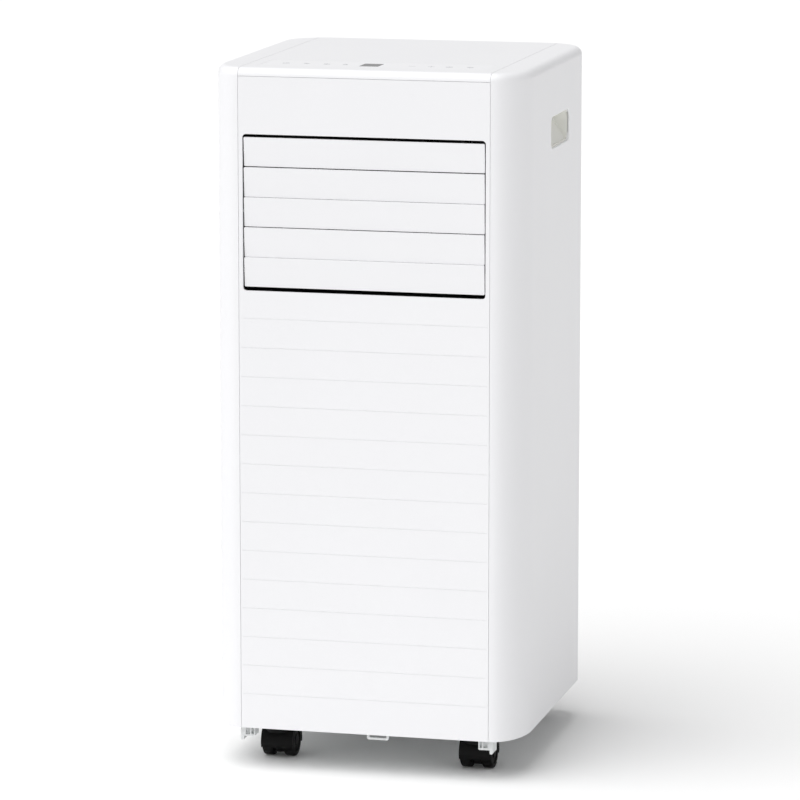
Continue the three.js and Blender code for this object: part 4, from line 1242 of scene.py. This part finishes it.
class OBJECT_OT_ac_rear_fittings(bpy.types.Operator):
    """Screws, drain plugs and the cord gland in the rear panel"""

    bl_idname = "object.ac_rear_fittings"
    bl_label = "Screws, plugs and gland"

    def execute(self, context):
        screws = []
        for x, z in screw_places():
            head = drum("screw", "Y", SCREW_HEAD, HEAD_BACK, HEAD_FACE, (x, z), 32)
            edge = lambda a, b: near(a.y, HEAD_FACE) and near(b.y, HEAD_FACE)
            round_edges(head, edge, 0.6 * MM, 3)
            for long, high in ((CROSS_LONG, CROSS_WIDE), (CROSS_WIDE, CROSS_LONG)):
                cross_low, cross_high = (x - long, CROSS_FLOOR, z - high), (x + long, REAR + MM, z + high)
                carve(head, block("cross", cross_low, cross_high))
            screws.append(head)
        screws = gather("rear_screws", screws)
        smooth(screws)
        settle(screws, "casing", "plated_steel", finish(zinc_screw))
        for node in ("upper_drain_plug", "lower_drain_plug"):
            low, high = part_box(node)
            place = middle_of(node)
            plug = drum(node + "_moulded", "Y", PLUG_RADIUS, high.y - PLUG_THICK, high.y, place, 48)
            dish = drum("dish", "Y", DISH_RADIUS, high.y - DISH_DEEP, high.y + MM, place, 48)
            carve(plug, dish)
            grip = block(
                "grip",
                (place[0] - GRIP_LONG, high.y - 1.4 * MM, place[1] - GRIP_WIDE),
                (place[0] + GRIP_LONG, high.y - 0.1 * MM, place[1] + GRIP_WIDE),
            )
            stem = drum("stem", "Y", PLUG_STEM, low.y, high.y - 2 * MM, place, 32)
            fuse(plug, grip, stem)
            soften(plug, 0.3 * MM, 2)
            settle(plug, BODY_OF[node], "rubber", finish(rubber), node)
        low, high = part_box("cord_gland")
        place = middle_of("cord_gland")
        gland = drum("cord_gland_moulded", "Y", GLAND_FLANGE, low.y, low.y + 3 * MM, place, 48)
        fuse(gland, drum("collar", "Y", GLAND_COLLAR, low.y + 2 * MM, high.y, place, 48))
        carve(gland, drum("bore", "Y", GLAND_BORE, low.y - MM, high.y + MM, place, 32))
        soften(gland, 0.4 * MM, 2)
        settle(gland, "casing", "rubber", finish(rubber), "cord_gland")
        return {"FINISHED"}


# ---------------------------------------------------------------- base

TRAY_INSET = 3.0 * MM
TRAY_WALL = 2.4 * MM
TRAY_FLOOR = 44 * MM
TRAY_THICK = 3 * MM
PAN_PITCH = 92 * MM
PAN_HALF = 42 * MM
PAN_DEEP = 1.2 * MM
BOSS_RADIUS = 14 * MM
BOSS_DEEP = 1.4 * MM
SOCKET_RADIUS = 5.4 * MM
# for a foot and its rib: nearest and farthest from the middle, lowest point and depth
FEET = ((114, 127, 31.5, 14), (125.4, 128.5, 27.5, 18))
FOOT_POCKETS = ((115.3, 117.7), (119, 123.6))


class OBJECT_OT_ac_base_tray(bpy.types.Operator):
    """Base tray: rim, ribbed corner feet, caster sockets and the loop under the front edge"""

    bl_idname = "object.ac_base_tray"
    bl_label = "Base tray"

    def execute(self, context):
        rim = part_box("base_tray")[1].z
        piece = column("base_tray_moulded", TRAY_INSET, TRAY_FLOOR, rim)
        well = column("well", TRAY_INSET + TRAY_WALL, TRAY_FLOOR + TRAY_THICK, rim + 5 * MM)
        carve(piece, well)
        # shallow panels pressed into the underside, between ribs
        for x, y in ((-1, 0), (0, -1), (0, 0), (0, 1), (1, 0)):
            centre = Vector((x * PAN_PITCH, y * PAN_PITCH, TRAY_FLOOR))
            low = centre - Vector((PAN_HALF, PAN_HALF, MM))
            pan = block("pan", low, centre + Vector((PAN_HALF, PAN_HALF, PAN_DEEP)))
            round_edges(pan, along("Z"), 6 * MM, 4)
            carve(piece, pan)
        for name in CASTERS:
            place = JOINT_PLACE[f"caster_{name}_swivel"]
            boss_foot = TRAY_FLOOR - BOSS_DEEP
            boss = drum("boss", "Z", BOSS_RADIUS, boss_foot, TRAY_FLOOR + MM, (place.x, place.y), 48)
            low, high = TRAY_FLOOR - 5 * MM, TRAY_FLOOR + 30 * MM
            socket = drum("socket", "Z", SOCKET_RADIUS, low, high, (place.x, place.y), 32)
            fuse(piece, boss)
            carve(piece, socket)
        fuse(piece, *self.feet(), self.loop())
        soften(piece, 0.35 * MM, 2)
        settle(piece, "casing", "tray_plastic", finish(tray_polypropylene), "base_tray")
        return {"FINISHED"}

    def feet(self):
        """Hollow corner feet behind the front edge, each with a deeper rib along its outer side."""
        made = []
        for hand in (-1, 1):
            y = FRONT + 8 * MM
            solids = []
            for inner, outer, low, deep in FEET:
                x0, x1 = sorted((hand * inner * MM, hand * outer * MM))
                solids.append(block("foot", (x0, y, low * MM), (x1, y + deep * MM, TRAY_FLOOR + MM)))
            at_foot = lambda middle: middle.z < TRAY_FLOOR
            for solid in solids:
                round_edges(solid, along("Y", at_foot), 1.2 * MM, 3)
            for inner, outer in FOOT_POCKETS:
                x0, x1 = sorted((hand * inner * MM, hand * outer * MM))
                pocket = block("pocket", (x0, y - MM, 33.4 * MM), (x1, y + 3 * MM, TRAY_FLOOR + 0.2 * MM))
                carve(solids[0], pocket)
            made += solids
        return made

    def loop(self):
        """Small loop that the front panel's lower edge hooks into."""
        y0, y1 = FRONT + 4 * MM, FRONT + 6.4 * MM
        loop = block("loop", (2 * MM, y0, 36.4 * MM), (24 * MM, y1, TRAY_FLOOR + MM))
        round_edges(loop, along("Y", lambda middle: middle.z < 40 * MM), 2 * MM, 4)
        eye = block("eye", (4.2 * MM, y0 - MM, 38.4 * MM), (21.8 * MM, y1 + MM, 41.2 * MM))
        round_edges(eye, along("Y"), 1 * MM, 3)
        return carve(loop, eye)


COLLAR_RADIUS = 11 * MM
STEM_RADIUS = 5 * MM
AXLE_PLAY = 0.4 * MM
WEB_SHORT = 1.5 * MM  # the web is this far clear of each wheel
# steps of a wheel's outer face from its rim inwards: width and rise, in mm
WHEEL_FACE = ((2.2, 0), (0.8, -1.6), (5.2, 0.3), (0.8, 1.1))


def caster_hood(name, at):
    """A caster's body about its swivel line: collar, stem, hood over both wheels and the web between them."""
    sizes = bpy.context.scene.ac_caster
    axle = JOINT_PLACE["caster_front_left_roll"] - JOINT_PLACE["caster_front_left_swivel"]
    centre = (axle.y, sizes.wheel)
    inner = sizes.wheel + sizes.hood_gap
    outer = inner + sizes.hood_wall
    half = sizes.apart / 2 + sizes.wheel_wide
    web = sizes.apart / 2 - WEB_SHORT
    hood = drum(name, "X", outer, -half, half, centre, 64)
    trim(hood, "Z", low=sizes.wheel - 5 * MM, fill=True)
    for hand in (-1, 1):
        x0, x1 = sorted((hand * web, hand * (half + MM)))
        carve(hood, drum("room", "X", inner, x0, x1, centre, 64))
    top = TRAY_FLOOR - 2.2 * MM
    fuse(
        hood,
        drum("web", "X", sizes.wheel - 3 * MM, -web + 0.01 * MM, web - 0.01 * MM, centre, 48),
        carve(
            drum("collar", "Z", COLLAR_RADIUS, sizes.wheel + inner - 6 * MM, top, (0, 0), 48),
            *[
                drum("room", "X", inner, *sorted((hand * web, hand * (half + MM))), centre, 64)
                for hand in (-1, 1)
            ],
        ),
        drum("stem", "Z", STEM_RADIUS, sizes.wheel + 9 * MM, TRAY_FLOOR + 9 * MM, (0, 0), 32),
    )
    carve(hood, drum("axle_hole", "X", sizes.axle + AXLE_PLAY, -half - MM, half + MM, centre, 32))
    soften(hood, 0.5 * MM, 2)
    move(hood, (at.x, at.y, 0))
    return hood


def caster_wheels(name, at):
    """Two dished wheels on one axle, about the axle's middle."""
    sizes = bpy.context.scene.ac_caster
    x0 = sizes.apart / 2
    x1 = x0 + sizes.wheel_wide
    wheel = drum(name, "X", sizes.wheel, x0, x1, (0, 0), 64)
    rim = lambda a, b: near(a.x, b.x)
    round_edges(wheel, rim, 1.8 * MM, 4)
    choose(wheel, "FACE", lambda centre, facing: facing.x > 0.99)
    for wide, rise in WHEEL_FACE:
        bpy.ops.mesh.inset(thickness=wide * MM, depth=rise * MM)
    leave_edit()
    twin = mirror_across_x(wheel, "twin")
    axle = drum("axle", "X", sizes.axle, -x0 - MM, x0 + MM, (0, 0), 32)
    fuse(wheel, twin, axle)
    smooth(wheel, 35)
    move(wheel, at)
    return wheel


class OBJECT_OT_ac_casters(bpy.types.Operator):
    """Four hooded twin-wheel casters"""

    bl_idname = "object.ac_casters"
    bl_label = "Casters"

    def execute(self, context):
        for name in CASTERS:
            hood_node, wheel_node = f"caster_{name}_body", f"caster_{name}_wheels"
            hood = caster_hood(hood_node + "_moulded", JOINT_PLACE[f"caster_{name}_swivel"])
            settle(hood, BODY_OF[hood_node], "black_plastic", finish(black_nylon), hood_node)
            wheels = caster_wheels(wheel_node + "_moulded", JOINT_PLACE[f"caster_{name}_roll"])
            settle(wheels, BODY_OF[wheel_node], "black_plastic", finish(black_nylon), wheel_node)
        return {"FINISHED"}


# ---------------------------------------------------------------- inside

INSIDE = {
    black_abs: ["louvre_frame", "louvre_link", "vane_link", "evap_fan_wheel", "cond_fan_wheel"]
    + [f"vane_{i}" for i in range(1, 7)],
    housing_abs: ["evap_scroll", "cond_scroll", "mid_partition"],
    galvanised_steel: ["louvre_motor", "evap_motor", "cond_motor", "control_box"],
    black_enamel: ["compressor", "accumulator"],
    rubber: [f"compressor_foot_{i}" for i in range(1, 4)],
    fin_aluminium: ["evaporator_coil", "condenser_coil"],
    zinc_screw: ["capacitor"],
    drawn_copper: ["discharge_pipe", "suction_pipe", "liquid_pipe"],
    solder_mask: ["control_board"],
    woven_nylon: ["filter_mesh"],
}


class OBJECT_OT_ac_inside(bpy.types.Operator):
    """Finishes of the parts inside the casing"""

    bl_idname = "object.ac_inside"
    bl_label = "Finishes of the inner parts"

    def execute(self, context):
        for maker, nodes in INSIDE.items():
            for node in nodes:
                mesh = frame["nodes"][node].data
                mesh.materials.clear()
                mesh.materials.append(finish(maker))
        return {"FINISHED"}


# ---------------------------------------------------------------- stage

CAMERA_PLACE = Vector((1.1165, -4.5368, 1.1712))
CAMERA_YAW = 0.2419
CAMERA_PITCH = 0.1739
CAMERA_LENS = 211.5  # on a sensor 36 mm wide
SKY_STRENGTH = 0.46
SUN_STRENGTH = 2.35
SUN_FROM = (-0.33, -0.35, 0.877)
SUN_SOFTNESS = 70  # degrees


class OBJECT_OT_ac_stage(bpy.types.Operator):
    """Pale floor, soft studio light and the camera"""

    bl_idname = "object.ac_stage"
    bl_label = "Stage"

    def execute(self, context):
        bpy.ops.object.select_all(action="DESELECT")
        bpy.ops.mesh.primitive_plane_add(size=40)
        floor = bpy.context.object
        floor.name = floor.data.name = "studio_floor"
        floor.data.materials.append(finish(floor_paint))
        scene = context.scene
        world = scene.world or bpy.data.worlds.new("studio")
        scene.world = world
        world.use_nodes = True
        sky = world.node_tree.nodes["Background"]
        sky.inputs["Color"].default_value = (1, 1, 1, 1)
        sky.inputs["Strength"].default_value = SKY_STRENGTH
        self.sun("key_light", SUN_STRENGTH, SUN_FROM, SUN_SOFTNESS)
        camera = bpy.data.objects.new("camera", bpy.data.cameras.new("camera"))
        context.collection.objects.link(camera)
        camera.data.lens = CAMERA_LENS
        camera.data.sensor_width = 36
        camera.data.clip_start = 0.1
        camera.data.clip_end = 60
        camera.location = CAMERA_PLACE
        camera.rotation_euler = (math.pi / 2 - CAMERA_PITCH, 0, CAMERA_YAW)
        scene.camera = camera
        scene.view_settings.view_transform = "Standard"
        return {"FINISHED"}

    def sun(self, name, strength, towards, softness):
        light = bpy.data.lights.new(name, "SUN")
        light.energy = strength
        light.angle = math.radians(softness)
        lamp = bpy.data.objects.new(name, light)
        lamp.rotation_euler = Vector(towards).to_track_quat("Z", "Y").to_euler()
        bpy.context.collection.objects.link(lamp)


class VIEW3D_PT_ac(bpy.types.Panel):
    """Lists the steps that build the air conditioner"""

    bl_idname = "VIEW3D_PT_ac"
    bl_label = "Air conditioner"
    bl_space_type = "VIEW_3D"
    bl_region_type = "UI"
    bl_category = "Air conditioner"

    def draw(self, context):
        layout = self.layout
        for name in GROUPS:
            group = getattr(context.scene, name)
            box = layout.box()
            for key in group.__annotations__:
                box.prop(group, key)
        for operator in OPERATORS:
            layout.operator(operator.bl_idname)


OPERATORS = (
    OBJECT_OT_ac_stage,
    OBJECT_OT_ac_front_panel,
    OBJECT_OT_ac_side_shells,
    OBJECT_OT_ac_handle_cups,
    OBJECT_OT_ac_top_cover,
    OBJECT_OT_ac_control_film,
    OBJECT_OT_ac_symbols,
    OBJECT_OT_ac_blades,
    OBJECT_OT_ac_rear_panel,
    OBJECT_OT_ac_filter_frame,
    OBJECT_OT_ac_exhaust_ring,
    OBJECT_OT_ac_rear_fittings,
    OBJECT_OT_ac_base_tray,
    OBJECT_OT_ac_casters,
    OBJECT_OT_ac_inside,
)
GROUPS = {
    "ac_casing": CasingSizes,
    "ac_outlet": OutletSizes,
    "ac_caster": CasterSizes,
    "ac_colours": Colours,
}


def register():
    for name, group in GROUPS.items():
        bpy.utils.register_class(group)
        setattr(bpy.types.Scene, name, PointerProperty(type=group))
    for made in (*OPERATORS, VIEW3D_PT_ac):
        bpy.utils.register_class(made)


def unregister():
    for made in reversed((*OPERATORS, VIEW3D_PT_ac)):
        bpy.utils.unregister_class(made)
    for name, group in reversed(GROUPS.items()):
        delattr(bpy.types.Scene, name)
        bpy.utils.unregister_class(group)


def main():
    register()
    for operator in OPERATORS:
        group, name = operator.bl_idname.split(".")
        getattr(getattr(bpy.ops, group), name)()


if __name__ == "__main__":
    main()
